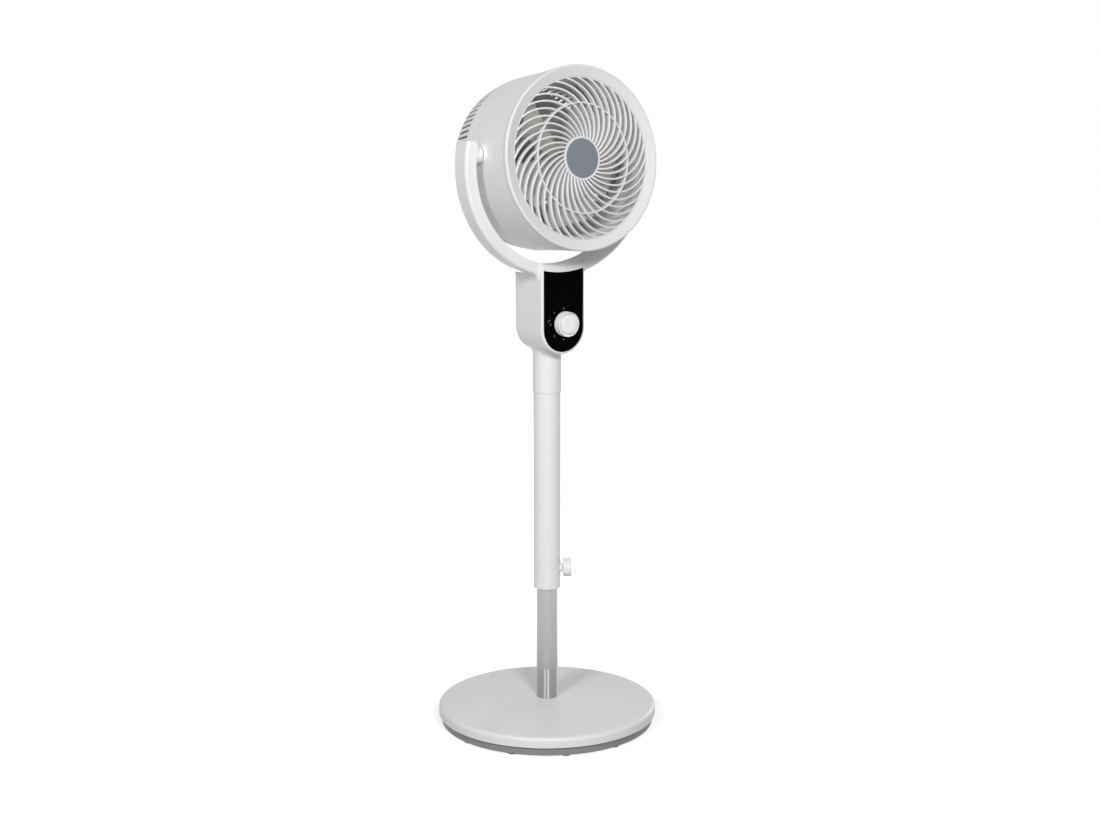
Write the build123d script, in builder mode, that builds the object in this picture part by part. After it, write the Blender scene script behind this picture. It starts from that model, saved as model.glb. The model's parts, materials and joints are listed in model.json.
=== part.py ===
from build123d import *
import os
from math import acos, cos, degrees, hypot, pi, radians, sin, sqrt, tan

# An air circulator fan on a pedestal. Z is up, the fan blows towards -Y, and the origin is on
# the floor at the middle of the base. Lengths are millimetres and angles are degrees.

# Clearances
slide_gap = 0.1  # a bush that slides or turns on its tube
spindle_gap = 0.05  # a shaft in its bearing
cover_gap = 0.2  # a cover, plate or panel in its recess
turn_gap = 0.3  # between faces that turn past each other
screw_gap = 0.1  # round a screw

# Base
base_radius = 170.0
base_rim_height = 31.0
base_crown_height = 40.0
base_rim_round = 6.0
base_wall = 3.0
tray_radius = 165.5
tray_top = 15.4  # where the cover's skirt ends and the grey tray shows
tray_floor = 2.5
tray_wall = 2.5
tray_nest = 4.0  # how far the tray's wall stands up inside the cover
pillar_radius = 6.0
pillar_height = 13.5
tray_edge_round = 1.5
foot_radius = 7.0
foot_height = 2.0
foot_spigot = 2.4
foot_circle = 156.5
foot_count = 12
foot_turn = 5.5  # where the first foot lies
base_screw_circle = 152.0
base_screw_count = 6
base_screw_radius = 1.6
base_screw_head = 3.2
base_screw_head_height = 2.5
base_screw_recess = 3.5  # from the tray's floor up to the screw's seat
base_screw_bite = 7.0
cover_boss_radius = 5.0
weight_radius = 140.0
weight_bore = 25.0
weight_thickness = 7.0
flange_radius = 45.0
flange_thickness = 4.0
flange_spigot_height = 20.0
flange_bore = 9.0
flange_screw_circle = 34.0
flange_screw_count = 4
flange_screw_radius = 2.5
flange_screw_head = 4.5
flange_screw_head_height = 2.5
centre_boss_radius = 21.0

# Poles and the height clamp
inner_pole_radius = 16.5
outer_pole_radius = 21.0
pole_wall = 1.5
inner_pole_length = 329.5
outer_pole_bottom = 218.0
outer_pole_top = 526.2
guide_length = 25.0
guide_cap = 3.0
guide_cap_bore = 14.0
collar_height = 3.0
collar_edge_height = 0.6
collar_lip = 1.2
lower_bush_length = 18.0
clamp_height = 248.0
clamp_azimuth = -35.0
clamp_boss_radius = 7.0
clamp_boss_reach = 3.0
clamp_pad_width = 14.0
clamp_pad_height = 14.0
clamp_screw_radius = 3.0
clamp_knob_radius = 14.4
clamp_knob_length = 14.0
clamp_knob_cap = 3.0
clamp_knob_chamfer = 2.0
clamp_knob_round = 1.5
flute_count = 18
flute_radius = 1.3
flute_depth = 0.4

# Swivel post, gear drive and neck
post_radius = 12.0
post_top_radius = 8.0
post_bore = 5.0
post_plug_length = 24.0
post_flange_radius = 20.7
post_flange_thickness = 3.3
washer_thickness = 1.0
neck_radius = 22.2
neck_wall = 3.0
neck_round = 10.0
neck_floor = 603.0
bush_wall = 2.0
bush_length = 12.0
gear_bottom = 612.5
gear_thickness = 6.0
gear_module = 0.9
sun_teeth = 40
pinion_teeth = 16
gear_backlash = 0.25
gear_addendum = 0.9  # in modules
gear_dedendum = 1.25  # in modules
pressure_angle = 20.0
gear_hub_radius = 17.0
pinion_thickness = 5.0
pinion_shaft_radius = 2.5
pinion_shaft_reach = 8.5  # how far the pinion's shaft runs into the motor
post_nut_height = 6.0
post_nut_width = 24.0
plate_height = 627.5
plate_thickness = 2.0
plate_half_width = 30.0
plate_half_depth = 22.4
plate_screw_x = 34.0
plate_screw_pitch = 16.0
plate_screw_radius = 1.5
plate_screw_head = 2.6
plate_screw_head_height = 2.0
plate_screw_bite = 4.0
ledge_thickness = 6.0
ledge_length = 24.0
swing_motor_radius = 14.0
swing_motor_height = 19.0
swing_motor_offset = 8.0
swing_motor_ear_pitch = 35.0
swing_motor_ear_width = 7.0
swing_motor_ear_thickness = 1.0

# Yoke and control housing
ring_height = 873.5  # centre of the yoke's ring
yoke_inner = 150.0
yoke_outer = 168.0
yoke_front = -38.0
yoke_back = -7.0
yoke_wall = 2.5
yoke_flank_wall = 3.5
yoke_front_round = 5.0
yoke_back_round = 2.5
arm_top = 912.0
arm_inner_round = 8.0
shoulder_round = 16.0
shoulder_reach = 6.0
shoulder_overlap = 5.0
shoulder_corner = 5.0
arm_cover_thickness = 3.0
arm_screw_angles = (-14.0, -48.0)
arm_post = 4.0
arm_screw_radius = 1.4
arm_screw_head = 2.6
arm_screw_head_height = 1.6
arm_screw_length = 12.0
housing_half_width = 40.0
housing_front = -43.5
housing_back_face = 33.0
housing_wall = 3.0
housing_front_wall = 4.0
chin_height = 629.0  # centre of the housing's round bottom
housing_back_round = 10.0
housing_front_round = 3.0
shell_seam = 5.0
panel_margin = 4.0
panel_top_radius = 160.0
panel_thickness = 2.2
panel_ledge = 6.0
housing_screw_x = 32.5
housing_screw_heights = (662.0, 694.0)
housing_screw_post = 5.0
housing_screw_radius = 1.6
housing_screw_head = 3.2
housing_screw_head_height = 2.5
housing_screw_recess = 7.0  # from the seam back to the screw's seat
housing_screw_length = 18.0
front_post_length = 15.0
gland_height = 615.0
gland_bore = 3.7
gland_radius = 6.1
gland_flange_radius = 8.0
gland_flange = 2.0
gland_inner_length = 6.0
capacitor_height = 676.0
capacitor_width = 26.0
capacitor_length = 36.0
capacitor_depth = 15.0
capacitor_round = 1.5

# Speed switch and its knob
dial_height = 636.0
dial_foot_radius = 17.4
dial_foot_height = 3.4  # where the dial's side is at its widest
dial_radius = 18.8
dial_rim = 14.4  # how far forward the dial's outer rim stands
dial_rim_edge = 0.8
dial_groove_radius = 16.9
dial_groove_depth = 1.6
dial_cap_radius = 13.6
dial_cap_edge = 0.8
dial_length = 15.2
dial_wall = 3.0
dial_well_radius = 9.0
dial_gap = 0.4
dial_notch_width = 1.2
dial_notch_length = 7.0
dial_notch_depth = 0.6
dial_shaft_radius = 3.0
switch_width = 24.0
switch_depth = 17.0
switch_wall = 2.0
switch_corner = 2.0
switch_bush_radius = 5.0
switch_bush_reach = 2.6  # how far the bush stands out of the panel
switch_nut_width = 13.0
switch_nut_height = 2.2

# Head
head_height = 873.5  # where the head's axis crosses the pole's axis
head_tilt = 7.0
pivot_y = -22.5
pivot_height = 892.0
pivot_bolt_radius = 5.0
pivot_bush_radius = 7.0
yoke_boss_radius = 13.5
pivot_post_radius = 12.0
drum_boss_radius = 13.5
drum_boss_inner = 119.5
drum_boss_outer = 135.6
pivot_washer = 1.3
pivot_spring_radius = 9.0
pivot_spring = 1.2
pivot_bolt_head = 8.0
pivot_bolt_head_height = 2.2
pivot_bolt_end = 6.0  # how far the bolt runs past the yoke's boss
pivot_nut_width = 15.0
pivot_nut_height = 5.0
pivot_seat = 4.0  # from the channel's wall to the face that the nut bears on
shell_wall = 2.5
drum_front = 84.0
drum_back = -20.0
drum_front_radius = 134.7
drum_middle_radius = 131.9
drum_back_radius = 130.3
side_slot_count = 90
side_slot_width = 3.8
side_slot_start = -24.5
side_slot_end = -64.0
shell_flank = (127.7, -38.0)  # points of the rear shell's outer face: radius, distance forward
shell_shoulder = (124.3, -55.0)
shell_corner = (113.5, -77.0)
shell_edge = (92.0, -98.0)
shell_lip_radius = 86.0
spigot_length = 6.0
spigot_wall = 2.0

# Front bezel and grille
bezel_radius = 135.5
bezel_front = 94.5
bezel_edge_height = 4.0
bezel_edge_slope = 0.6
bezel_round = 2.6
bezel_skirt = 2.4
bezel_lip = 4.4
opening_radius = 119.0
opening_front = 89.0
opening_round = 0.8
rib_count = 36
rib_centre = 62.0  # distance of each rib arc's centre from the axis
rib_radius = 67.0
rib_turn = 4.0  # where the first rib arc's centre lies
rib_width = 2.8
rib_depth = 10.0
grille_ring_radius = 80.2
grille_ring_width = 2.3
grille_hub_radius = 31.8
grille_hub_front = 91.0
grille_hub_rim = 0.4  # how far the hub's rim stands in front of the ribs
grille_hub_depth = 10.4
grille_hub_floor = 2.0
grille_dome = 95.2
dome_radius = 76.2  # where the ribs stand furthest forward
grille_frame_width = 2.0
grille_flange = 2.0
badge_radius = 28.5
badge_thickness = 3.0
badge_sink = 0.4
badge_round = 0.8

# Air duct, rear grille and motor
duct_radius = 112.5
duct_wall = 2.2
duct_back = -8.0
duct_flare = 8.0
duct_flare_length = 16.0
duct_cone_length = 19.0
duct_flange = 2.0
grate_thickness = 3.0
grate_depth = 8.0  # of the bars
grate_rings = 4
grate_inner = 49.0
grate_pitch = 9.5
grate_bar = 3.0
grate_spokes = 48
grate_screw_circle = 88.5
grate_screw_count = 6
grate_screw_radius = 1.5
grate_screw_head = 2.5
grate_screw_head_height = 1.4
motor_radius = 42.0
motor_wall = 2.5
stator_back = -62.0
stator_front = -36.0
motor_front = -22.0
coil_margin = 2.0  # from the rotor's bore out to the coils
coil_back_length = 8.0
coil_front_length = 7.0
coil_round = 1.5
rotor_radius = 24.0
rotor_gap = 0.4
rotor_shorter = 1.0  # how far the rotor ends inside the stack, at each end
shaft_radius = 4.0
bearing_radius = 9.0
bearing_length = 7.0
bearing_wall = 3.0
shaft_clearance = 0.5
motor_screw_circle = 34.0
motor_screw_radius = 2.0
motor_screw_head = 3.4
motor_screw_head_height = 2.2
motor_screw_boss = 5.0
motor_screw_boss_height = 8.5
motor_screw_bite = 6.5
motor_back_wall = 3.5
motor_cover_radius = 45.0
motor_cover_depth = 8.0
motor_cover_rim = 2.0
motor_cover_slope = 7.0
motor_cover_wall = 2.0
motor_cover_slots = 12
motor_cover_slot_circle = 22.0
motor_cover_slot_length = 18.0
motor_cover_slot_width = 3.0

# Impeller
blade_count = 5
blade_tip = 110.5
blade_middle = 42.0
blade_thickness = 2.4
blade_camber = 0.09  # in chords
blade_root = (12.0, 42.0, 44.0, 0.0)  # distance from the axis, chord, pitch, sideways shift
blade_end = (122.0, 104.0, 24.0, -30.0)
impeller_hub_radius = 27.0
impeller_hub_back = 20.0
impeller_hub_front = 64.0
impeller_wall = 3.0
impeller_boss_radius = 8.0
impeller_round = 3.0
nut_length = 9.0
nut_radius = 9.0
nut_wall = 2.0
nut_round = 2.5
nut_flutes = 8
nut_flute_radius = 2.2
nut_flute_depth = 1.0

# Heights and places that follow from the sizes above
floor_top = foot_height + tray_floor
weight_top = floor_top + weight_thickness
flange_top = weight_top + flange_thickness
pillar_top = floor_top + pillar_height
inner_pole_top = flange_top + inner_pole_length
inner_bore = inner_pole_radius - pole_wall
outer_bore = outer_pole_radius - pole_wall
collar_bottom = outer_pole_bottom - collar_height
clamp_boss_end = outer_pole_radius + clamp_boss_reach
clamp_pad_face = outer_bore - turn_gap
post_flange_top = outer_pole_top + post_flange_thickness
neck_bottom = outer_pole_top + turn_gap
neck_seat = post_flange_top + washer_thickness + slide_gap
bush_outer = post_radius + slide_gap + bush_wall
bush_bore = bush_outer + spindle_gap
gear_distance = gear_module * (sun_teeth + pinion_teeth) / 2 + 0.05
pinion_x = -gear_distance
swing_motor_x = pinion_x + swing_motor_offset
plate_top = plate_height + plate_thickness
post_top = gear_bottom + gear_thickness + post_nut_height + 2
housing_inner_half = housing_half_width - housing_wall
housing_inner_top = yoke_inner + housing_wall
shoulder_inner_top = yoke_outer + housing_wall
panel_half = housing_half_width - panel_margin
panel_back = housing_front + panel_thickness
channel_inner = yoke_inner + yoke_wall
channel_outer = yoke_outer - yoke_flank_wall
channel_front = yoke_front + yoke_wall
cover_front = yoke_back - arm_cover_thickness
yoke_boss_face = drum_boss_outer + pivot_washer + cover_gap
yoke_boss_end = channel_inner + pivot_seat
grate_back = shell_edge[1] + shell_wall + slide_gap
grate_front = grate_back + grate_thickness
motor_back = grate_front + slide_gap

# Planes and axes of the head
forward = (0, -cos(radians(head_tilt)), sin(radians(head_tilt)))
head_plane = Plane(origin=(0, 0, head_height), x_dir=(1, 0, 0), z_dir=forward)
head_axis = Axis((0, 0, head_height), forward)
head_profile = Plane(
    origin=(0, 0, head_height),
    x_dir=(1, 0, 0),
    z_dir=(0, -sin(radians(head_tilt)), -cos(radians(head_tilt))),
)
dial_axis = Axis((0, 0, dial_height), (0, -1, 0))
dial_profile = Plane(origin=(0, housing_front, dial_height), x_dir=(1, 0, 0), z_dir=(0, 0, -1))
clamp_plane = Plane(
    origin=(0, 0, clamp_height),
    x_dir=(0, 0, 1),
    z_dir=(cos(radians(clamp_azimuth)), sin(radians(clamp_azimuth)), 0),
)
pivot_spot = (pivot_y, pivot_height)


def facing(y):
    """The upright plane at a given y that faces the front of the fan."""
    return Plane.XZ.offset(-y)


def level(z):
    """The level plane at a given height."""
    return Plane.XY.offset(z)


def tube(plane, outer, length, inner=0.0, mode=Mode.ADD):
    """A disc or tube that stands on a plane, in the part being built."""
    with BuildSketch(plane) as section:
        Circle(outer)
        if inner > 0:
            Circle(inner, mode=Mode.SUBTRACT)
    extrude(section.sketch, amount=length, mode=mode)


def studs(plane, spots, radius, length, mode=Mode.ADD):
    """The same round stud at each spot of a plane, in the part being built."""
    with BuildSketch(plane) as section:
        with Locations(*spots):
            Circle(radius)
    extrude(section.sketch, amount=length, mode=mode)


def turned(plane, axis, points, mode=Mode.ADD):
    """A closed outline revolved about an axis, in the part being built."""
    with BuildSketch(plane) as section:
        with BuildLine():
            Polyline(*points, close=True)
        make_face()
    revolve(section.sketch, axis=axis, mode=mode)


def on_circle(radius, count, start=0.0):
    """Evenly spaced spots on a circle."""
    turns = [radians(start + 360 * i / count) for i in range(count)]
    return [(radius * cos(turn), radius * sin(turn)) for turn in turns]


def save(builder, name):
    """Label a finished piece and write it."""
    builder.part.label = name
    export_step(builder.part, f"parts/{name}.step")


os.makedirs("parts", exist_ok=True)


# ---------------------------------------------------------------- base


def cover_height(radius):
    """Height of the base cover's outer face at a distance from the pole's axis."""
    rise = base_crown_height - base_rim_height
    return base_crown_height - rise * radius / base_radius


foot_spots = on_circle(foot_circle, foot_count, foot_turn)
base_screw_spots = on_circle(base_screw_circle, base_screw_count, foot_turn + 180 / foot_count)
flange_screw_spots = on_circle(flange_screw_circle, flange_screw_count, 45)
base_screw_seat = floor_top + base_screw_recess
base_screw_tip = pillar_top + base_screw_bite

with BuildPart() as base_cover:
    skirt_inner = tray_radius + turn_gap
    boss_bore = inner_pole_radius + turn_gap
    with BuildSketch(Plane.XZ) as cover_section:
        with BuildLine():
            Polyline(
                (base_radius, tray_top),
                (base_radius, base_rim_height),
                (boss_bore, cover_height(boss_bore)),
                (boss_bore, flange_top),
                (centre_boss_radius, flange_top),
                (centre_boss_radius, cover_height(centre_boss_radius) - base_wall),
                (skirt_inner, cover_height(skirt_inner) - base_wall),
                (skirt_inner, tray_top),
                close=True,
            )
        make_face()
        rim = cover_section.vertices().sort_by(Axis.X)[-2:].sort_by(Axis.Y)[-1]
        fillet(rim, base_rim_round)
    revolve(axis=Axis.Z)
    boss_length = cover_height(base_screw_circle) - base_wall / 2 - pillar_top
    studs(level(pillar_top), base_screw_spots, cover_boss_radius, boss_length)
    pilot = base_screw_radius + screw_gap
    pilot_depth = base_screw_bite + screw_gap
    studs(level(pillar_top), base_screw_spots, pilot, pilot_depth, Mode.SUBTRACT)
save(base_cover, "base_cover")

with BuildPart() as base_tray:
    tube(level(foot_height), tray_radius, tray_floor)
    wall_height = tray_top + tray_nest - floor_top
    tube(level(floor_top), tray_radius, wall_height, tray_radius - tray_wall)
    fillet(base_tray.edges().group_by(Axis.Z)[0], tray_edge_round)
    studs(level(floor_top), base_screw_spots, pillar_radius, pillar_height)
    well = base_screw_seat - foot_height
    head_room = base_screw_head + screw_gap
    studs(level(foot_height), base_screw_spots, head_room, well, Mode.SUBTRACT)
    shank_room = base_screw_radius + screw_gap
    studs(level(foot_height), base_screw_spots, shank_room, pillar_top, Mode.SUBTRACT)
    studs(level(foot_height), foot_spots, foot_spigot + screw_gap, tray_floor, Mode.SUBTRACT)
save(base_tray, "base_tray")

with BuildPart() as base_feet:
    studs(level(0), foot_spots, foot_radius, foot_height)
    studs(level(foot_height), foot_spots, foot_spigot, tray_floor - screw_gap)
save(base_feet, "base_feet")

with BuildPart() as base_screws:
    studs(level(base_screw_seat), base_screw_spots, base_screw_head, -base_screw_head_height)
    shank = base_screw_tip - base_screw_seat
    studs(level(base_screw_seat), base_screw_spots, base_screw_radius, shank)
save(base_screws, "base_screws")

with BuildPart() as base_weight:
    tube(level(floor_top), weight_radius, weight_thickness, weight_bore)
    hole = flange_screw_radius + screw_gap
    studs(level(floor_top), flange_screw_spots, hole, weight_thickness, Mode.SUBTRACT)
save(base_weight, "base_weight")

with BuildPart() as pole_flange:
    tube(level(weight_top), flange_radius, flange_thickness)
    tube(level(flange_top), inner_bore - slide_gap, flange_spigot_height)
    tube(level(weight_top), flange_bore, flange_thickness + flange_spigot_height, 0, Mode.SUBTRACT)
    with Locations(level(flange_top)):
        with Locations(*flange_screw_spots):
            CounterBoreHole(
                flange_screw_radius + screw_gap,
                flange_screw_head + screw_gap,
                flange_screw_head_height,
                flange_thickness,
            )
save(pole_flange, "pole_flange")

with BuildPart() as flange_screws:
    head_seat = flange_top - flange_screw_head_height
    studs(level(head_seat), flange_screw_spots, flange_screw_head, flange_screw_head_height)
    studs(level(floor_top), flange_screw_spots, flange_screw_radius, head_seat - floor_top)
save(flange_screws, "flange_screws")


# ---------------------------------------------------------------- poles and the height clamp

with BuildPart() as inner_pole:
    tube(level(flange_top), inner_pole_radius, inner_pole_length, inner_bore)
save(inner_pole, "inner_pole")

with BuildPart() as pole_guide:
    guide_bottom = inner_pole_top - guide_length
    guide_radius = outer_bore - slide_gap
    tube(level(guide_bottom), guide_radius, guide_length, inner_pole_radius)
    tube(level(inner_pole_top), guide_radius, guide_cap, guide_cap_bore)
save(pole_guide, "pole_guide")

with BuildPart() as outer_pole:
    pole_length = outer_pole_top - outer_pole_bottom
    tube(level(outer_pole_bottom), outer_pole_radius, pole_length, outer_bore)
    tube(clamp_plane, clamp_boss_radius + screw_gap, clamp_boss_end, 0, Mode.SUBTRACT)
save(outer_pole, "outer_pole")

with BuildPart() as lower_bush:
    slide_bore = inner_pole_radius + slide_gap
    bush_top = outer_pole_bottom + lower_bush_length
    turned(
        Plane.XZ,
        Axis.Z,
        [
            (slide_bore, collar_bottom),
            (slide_bore + collar_lip, collar_bottom),
            (outer_pole_radius, outer_pole_bottom - collar_edge_height),
            (outer_pole_radius, outer_pole_bottom),
            (outer_bore - slide_gap, outer_pole_bottom),
            (outer_bore - slide_gap, bush_top),
            (slide_bore, bush_top),
        ],
    )
save(lower_bush, "lower_bush")

with BuildPart() as clamp_boss:
    boss_start = outer_bore + slide_gap
    boss_plane = clamp_plane.offset(boss_start)
    tube(boss_plane, clamp_boss_radius, clamp_boss_end - boss_start, clamp_screw_radius + spindle_gap)
save(clamp_boss, "clamp_boss")

with BuildPart() as clamp_pad:
    pad_bottom = clamp_height - clamp_pad_height / 2
    tube(level(pad_bottom), clamp_pad_face, clamp_pad_height, inner_pole_radius + slide_gap)
    with BuildSketch(clamp_plane) as pad_face:
        Rectangle(clamp_pad_height, clamp_pad_width)
    extrude(amount=outer_bore, mode=Mode.INTERSECT)
save(clamp_pad, "clamp_pad")

with BuildPart() as height_screw:
    screw_start = clamp_pad_face + spindle_gap
    screw_end = clamp_boss_end + turn_gap + clamp_knob_length - clamp_knob_cap
    tube(clamp_plane.offset(screw_start), clamp_screw_radius, screw_end - screw_start)
save(height_screw, "height_screw")

with BuildPart() as height_knob:
    knob_plane = clamp_plane.offset(clamp_boss_end + turn_gap)
    tube(knob_plane, clamp_knob_radius, clamp_knob_length)
    knob_axis = Axis(knob_plane.origin, knob_plane.z_dir)
    rims = height_knob.edges().filter_by(GeomType.CIRCLE).sort_by(knob_axis)
    chamfer(rims[0], clamp_knob_chamfer)
    fillet(rims[-1], clamp_knob_round)
    flute_spots = on_circle(clamp_knob_radius + flute_radius - flute_depth, flute_count)
    studs(knob_plane, flute_spots, flute_radius, clamp_knob_length, Mode.SUBTRACT)
    knob_hole = clamp_knob_length - clamp_knob_cap + slide_gap
    tube(knob_plane, clamp_screw_radius + spindle_gap, knob_hole, 0, Mode.SUBTRACT)
save(height_knob, "height_knob")


# ---------------------------------------------------------------- swivel post and gear drive


def gear_face(teeth, plane, turn, bore=0.0):
    """A spur gear's outline about a plane's origin, with its first tooth at an angle in degrees."""
    pitch_radius = gear_module * teeth / 2
    base_circle = pitch_radius * cos(radians(pressure_angle))
    tip_radius = pitch_radius + gear_addendum * gear_module
    root_radius = pitch_radius - gear_dedendum * gear_module
    half_tooth = pi / (2 * teeth) - gear_backlash / (2 * pitch_radius)

    def flank(radius):
        """Half the tooth's angle at a radius, from the involute of the base circle."""
        roll = acos(base_circle / radius)
        pitch_roll = acos(base_circle / pitch_radius)
        return half_tooth + (tan(pitch_roll) - pitch_roll) - (tan(roll) - roll)

    low = 1.0001 * max(base_circle, root_radius)
    radii = [low + (tip_radius - low) * i / 4 for i in range(5)]
    outline = []
    for tooth in range(teeth):
        middle = radians(turn) + 2 * pi * tooth / teeth
        side = [(root_radius, flank(low))] + [(radius, flank(radius)) for radius in radii]
        for radius, half in side:
            outline.append((radius * cos(middle - half), radius * sin(middle - half)))
        for radius, half in reversed(side):
            outline.append((radius * cos(middle + half), radius * sin(middle + half)))
    with BuildSketch(plane) as face:
        with BuildLine():
            Polyline(*outline, close=True)
        make_face()
        if bore > 0:
            Circle(bore, mode=Mode.SUBTRACT)
    return face.sketch


with BuildPart() as swivel_post:
    plug_bottom = outer_pole_top - post_plug_length
    tube(level(plug_bottom), outer_bore - slide_gap, post_plug_length)
    tube(level(outer_pole_top), post_flange_radius, post_flange_thickness)
    tube(level(post_flange_top), post_radius, gear_bottom - post_flange_top)
    tube(level(gear_bottom), post_top_radius, post_top - gear_bottom)
    tube(level(plug_bottom), post_bore, post_top - plug_bottom, 0, Mode.SUBTRACT)
save(swivel_post, "swivel_post")

with BuildPart() as thrust_washer:
    washer_bore = post_radius + slide_gap
    tube(level(post_flange_top), post_flange_radius - turn_gap, washer_thickness, washer_bore)
save(thrust_washer, "thrust_washer")

with BuildPart() as fixed_gear:
    extrude(
        gear_face(sun_teeth, level(gear_bottom), 0, post_top_radius + spindle_gap),
        amount=gear_thickness,
    )
    hub_bottom = neck_floor + turn_gap
    hub_length = gear_bottom - hub_bottom
    tube(level(hub_bottom), gear_hub_radius, hub_length, post_radius + spindle_gap)
save(fixed_gear, "fixed_gear")

with BuildPart() as post_nut:
    nut_bottom = gear_bottom + gear_thickness
    with BuildSketch(level(nut_bottom)):
        RegularPolygon(post_nut_width / 2, 6, major_radius=False)
        Circle(post_top_radius + spindle_gap, mode=Mode.SUBTRACT)
    extrude(amount=post_nut_height)
save(post_nut, "post_nut")

with BuildPart() as swing_pinion:
    pinion_bottom = gear_bottom + (gear_thickness - pinion_thickness) / 2
    pinion_plane = Plane((pinion_x, 0, pinion_bottom))
    # the fixed gear has a tooth towards the pinion, so the pinion has a gap there
    extrude(gear_face(pinion_teeth, pinion_plane, 180 / pinion_teeth), amount=pinion_thickness)
    shaft_end = plate_top + swing_motor_ear_thickness + pinion_shaft_reach
    tube(pinion_plane, pinion_shaft_radius, shaft_end - pinion_bottom)
save(swing_pinion, "swing_pinion")

ledge_y = shell_seam - ledge_length / 2
plate_screw_spots = [
    (x, ledge_y + y)
    for x in (-plate_screw_x, plate_screw_x)
    for y in (-plate_screw_pitch / 2, plate_screw_pitch / 2)
]

with BuildPart() as drive_plate:
    with BuildSketch(level(plate_height)):
        with Locations((0, ledge_y)):
            Rectangle(2 * (housing_inner_half - turn_gap), ledge_length)
        Rectangle(2 * plate_half_width, 2 * plate_half_depth)
        Circle(post_bore, mode=Mode.SUBTRACT)
        with Locations((pinion_x, 0)):
            Circle(pinion_shaft_radius + turn_gap, mode=Mode.SUBTRACT)
        with Locations(*plate_screw_spots):
            Circle(plate_screw_radius + screw_gap, mode=Mode.SUBTRACT)
    extrude(amount=plate_thickness)
save(drive_plate, "drive_plate")

with BuildPart() as plate_screws:
    studs(level(plate_top), plate_screw_spots, plate_screw_head, plate_screw_head_height)
    screw_tip = plate_height - plate_screw_bite
    studs(level(screw_tip), plate_screw_spots, plate_screw_radius, plate_top - screw_tip)
save(plate_screws, "plate_screws")

with BuildPart() as swing_motor:
    studs(level(plate_top), [(swing_motor_x, 0)], swing_motor_radius, swing_motor_height)
    with BuildSketch(level(plate_top)):
        with Locations((swing_motor_x, 0)):
            SlotCenterToCenter(swing_motor_ear_pitch, swing_motor_ear_width, rotation=90)
    extrude(amount=swing_motor_ear_thickness)
    shaft_room = pinion_shaft_radius + spindle_gap
    shaft_well = shaft_end + slide_gap - plate_top
    studs(level(plate_top), [(pinion_x, 0)], shaft_room, shaft_well, Mode.SUBTRACT)
save(swing_motor, "swing_motor")


# ---------------------------------------------------------------- yoke and control housing


def shield(plane, half_width, top_radius):
    """An outline with a half round bottom, straight sides and a top that follows the yoke's ring."""
    side_top = ring_height - sqrt(top_radius**2 - half_width**2)
    left, right = -half_width, half_width
    with BuildSketch(plane) as outline:
        with BuildLine():
            Line((left, side_top), (left, chin_height))
            ThreePointArc((left, chin_height), (0, chin_height - half_width), (right, chin_height))
            Line((right, chin_height), (right, side_top))
            ThreePointArc((right, side_top), (0, ring_height - top_radius), (left, side_top))
        make_face()
    return outline.sketch


def ring_band(plane, outer, inner, top, corner):
    """The part of a flat ring round the drum that lies below a height, with rounded inner corners."""
    with BuildSketch(plane) as band:
        with Locations((0, ring_height)):
            Circle(outer)
            Circle(inner, mode=Mode.SUBTRACT)
        with Locations((0, top + outer)):
            Rectangle(4 * outer, 2 * outer, mode=Mode.SUBTRACT)
        fillet(band.vertices().group_by(Axis.Y)[-1].sort_by(Axis.X)[1:3], corner)
    return band.sketch


with BuildSketch(Plane.XY) as yoke_face:
    add(ring_band(Plane.XY, yoke_outer, yoke_inner, arm_top, arm_inner_round))
    add(shield(Plane.XY, housing_half_width, yoke_inner))
    shoulders = yoke_face.vertices().filter_by(
        lambda spot: abs(abs(spot.X) - housing_half_width) < 0.01 and spot.Y > chin_height + 1
    )
    fillet(shoulders.group_by(Axis.Y)[0], shoulder_round)

with BuildPart() as rear_shoulders:
    # carry the round corners under the arms on to the back of the housing
    shoulder_front = yoke_back - shoulder_overlap
    shoulder_depth = housing_back_face - housing_back_round - shoulder_front
    with BuildSketch(facing(shoulder_front)):
        add(yoke_face.sketch)
        with Locations((0, ring_height)):
            Circle(yoke_outer, mode=Mode.SUBTRACT)
    extrude(amount=-shoulder_depth)
    shoulder_width = 2 * (housing_half_width + shoulder_reach)
    with BuildSketch(level(ring_height - yoke_outer - 2 * shoulder_round)):
        with Locations((0, shoulder_front)):
            RectangleRounded(shoulder_width, 2 * shoulder_depth, shoulder_corner)
    extrude(amount=4 * shoulder_round, mode=Mode.INTERSECT)

with BuildPart() as housing_block:
    extrude(
        shield(facing(housing_front), housing_half_width, yoke_inner),
        amount=housing_front - yoke_back,
    )
    extrude(
        shield(facing(housing_front), housing_half_width, yoke_outer),
        amount=housing_front - housing_back_face,
    )
    fillet(housing_block.faces().sort_by(Axis.Y)[-1].edges(), housing_back_round)
    fillet(housing_block.faces().sort_by(Axis.Y)[0].edges(), housing_front_round)
    add(rear_shoulders.part)

with BuildPart() as yoke_ring:
    with BuildSketch(facing(yoke_front)):
        add(yoke_face.sketch)
    extrude(amount=yoke_front - yoke_back)
    outer_arcs = yoke_ring.edges().filter_by(
        lambda edge: edge.geom_type == GeomType.CIRCLE and abs(edge.radius - yoke_outer) < 0.01
    )
    fillet(outer_arcs.sort_by(Axis.Y)[0], yoke_front_round)
    outer_arcs = yoke_ring.edges().filter_by(
        lambda edge: edge.geom_type == GeomType.CIRCLE and abs(edge.radius - yoke_outer) < 0.01
    )
    fillet(outer_arcs.sort_by(Axis.Y)[-1], yoke_back_round)

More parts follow.
